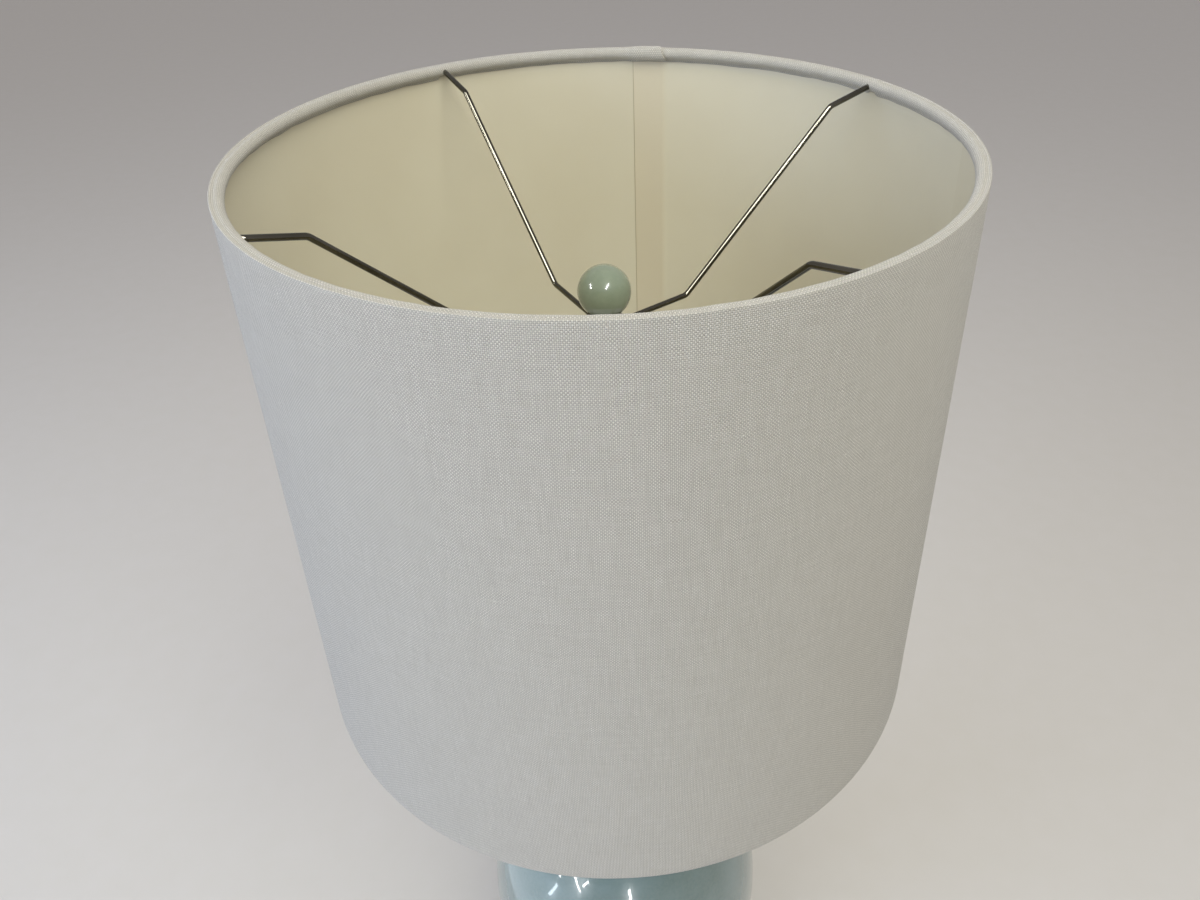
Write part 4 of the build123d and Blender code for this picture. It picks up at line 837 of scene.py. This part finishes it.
# ---- Room --------------------------------------------------------------------------
def camera():
    """Camera in front of the shade and above its rim, tilted down and slightly rolled."""
    yaw, pitch, roll = (radians(value) for value in (CAMERA_YAW, CAMERA_PITCH, CAMERA_ROLL))
    ahead = Vector((sin(yaw) * cos(pitch), cos(yaw) * cos(pitch), -sin(pitch)))
    level = ahead.cross(Vector((0, 0, 1))).normalized()
    upright = level.cross(ahead)
    right = level * cos(roll) + upright * sin(roll)
    up = upright * cos(roll) - level * sin(roll)
    data = bpy.data.cameras.new("camera")
    data.lens = CAMERA_LENS
    data.sensor_width = CAMERA_SENSOR
    data.shift_x = CAMERA_SHIFT_X
    data.clip_start = CAMERA_NEAR
    data.clip_end = CAMERA_FAR
    seen = bpy.data.objects.new("camera", data)
    turn = Matrix((right, up, -ahead)).transposed().to_4x4()
    seen.matrix_world = Matrix.Translation(CAMERA_AT) @ turn
    bpy.context.scene.collection.objects.link(seen)
    bpy.context.scene.camera = seen


def studio_floor():
    """Plain pale floor under the lamp."""
    mesh = bpy.data.meshes.new("studio_floor")
    corners = [(-FLOOR_HALF, -FLOOR_HALF, 0), (FLOOR_HALF, -FLOOR_HALF, 0),
               (FLOOR_HALF, FLOOR_HALF, 0), (-FLOOR_HALF, FLOOR_HALF, 0)]
    mesh.from_pydata(corners, [], [(0, 1, 2, 3)])
    look = Look("pale_floor", Roughness=0.7, Specular_IOR_Level=0.3)
    cloud = look.noise(look.place(), 30.0)
    dark, light = (paint(*value) for value in FLOOR_PAINTS)
    look.colour(look.mottle(cloud, 0.2, 0.8, dark, light))
    mesh.materials.append(look.material)
    floor = bpy.data.objects.new("studio_floor", mesh)
    bpy.context.scene.collection.objects.link(floor)


def area_light(name, at, aim, turn_deg, size, watts, colour):
    """Area light that faces a point, with its long side turned about its axis."""
    data = bpy.data.lights.new(name, "AREA")
    data.shape = "RECTANGLE"
    data.size, data.size_y = size
    data.energy = watts
    data.color = colour
    lamp = bpy.data.objects.new(name, data)
    facing = (Vector(aim) - Vector(at)).to_track_quat("-Z", "Y").to_matrix().to_4x4()
    lamp.matrix_world = Matrix.Translation(at) @ facing @ Matrix.Rotation(radians(turn_deg), 4, "Z")
    bpy.context.scene.collection.objects.link(lamp)
    return lamp


def soft_light(box):
    """Light on everything that shows in no reflection."""
    lamp = area_light(box.name, box.at, box.aim, 0.0, box.size, box.watts, box.colour)
    lamp.visible_glossy = False


def glint(pane):
    """Light that shows only as a highlight on gloss."""
    at = Vector(pane.aim) + Vector(pane.toward).normalized() * pane.distance
    lamp = area_light(pane.name, at, pane.aim, pane.turn_deg, pane.size, pane.watts, pane.colour)
    lamp.visible_diffuse = False
    return lamp


def shine_only_on(lamps, things, name):
    """Keeps lamps off everything but the given objects."""
    receivers = bpy.data.collections.new(name)
    for thing in things:
        receivers.objects.link(thing)
    for lamp in lamps:
        lamp.light_linking.receiver_collection = receivers


def studio_lights(arms):
    """Soft light from three sides, and the highlights on the ball, the arms and the jar."""
    for box in SOFTBOXES:
        soft_light(box)
    for pane in BALL_PANES:
        glint(pane)
    shine_only_on([glint(pane) for pane in ARM_PANES], arms, "arm_pane_receivers")
    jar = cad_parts["jar_body"]
    shine_only_on([glint(pane) for pane in JAR_PANES], [jar], "jar_pane_receivers")


def studio_world():
    """Even pale surroundings, darker overhead, so that metal has something to show."""
    world = bpy.data.worlds.new("studio")
    bpy.context.scene.world = world
    world.use_nodes = True
    tree = world.node_tree
    background = tree.nodes["Background"]
    coordinates = tree.nodes.new("ShaderNodeTexCoord")
    parts = tree.nodes.new("ShaderNodeSeparateXYZ")
    ramp = tree.nodes.new("ShaderNodeValToRGB")
    low, high = ramp.color_ramp.elements
    low.position = 0.0
    low.color = paint(*WORLD_LOW_PAINT)
    high.position = WORLD_HIGH_AT
    high.color = paint(*WORLD_HIGH_PAINT)
    tree.links.new(coordinates.outputs["Generated"], parts.inputs[0])
    tree.links.new(parts.outputs["Z"], ramp.inputs[0])
    tree.links.new(ramp.outputs[0], background.inputs["Color"])
    background.inputs["Strength"].default_value = WORLD_STRENGTH


# ---- Assembly ----------------------------------------------------------------------
def dress_cad_nodes():
    """Gives every node that carries over from the CAD source its own material."""
    for node, look in CAD_LOOKS.items():
        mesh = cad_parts[node].data
        mesh.materials.clear()
        mesh.materials.append(look)


dress_cad_nodes()
fabric_cover()
lining()
arms = spider_arms()
finial_ball()
camera()
studio_floor()
studio_lights(arms)
studio_world()
bpy.context.scene.view_settings.view_transform = "Standard"
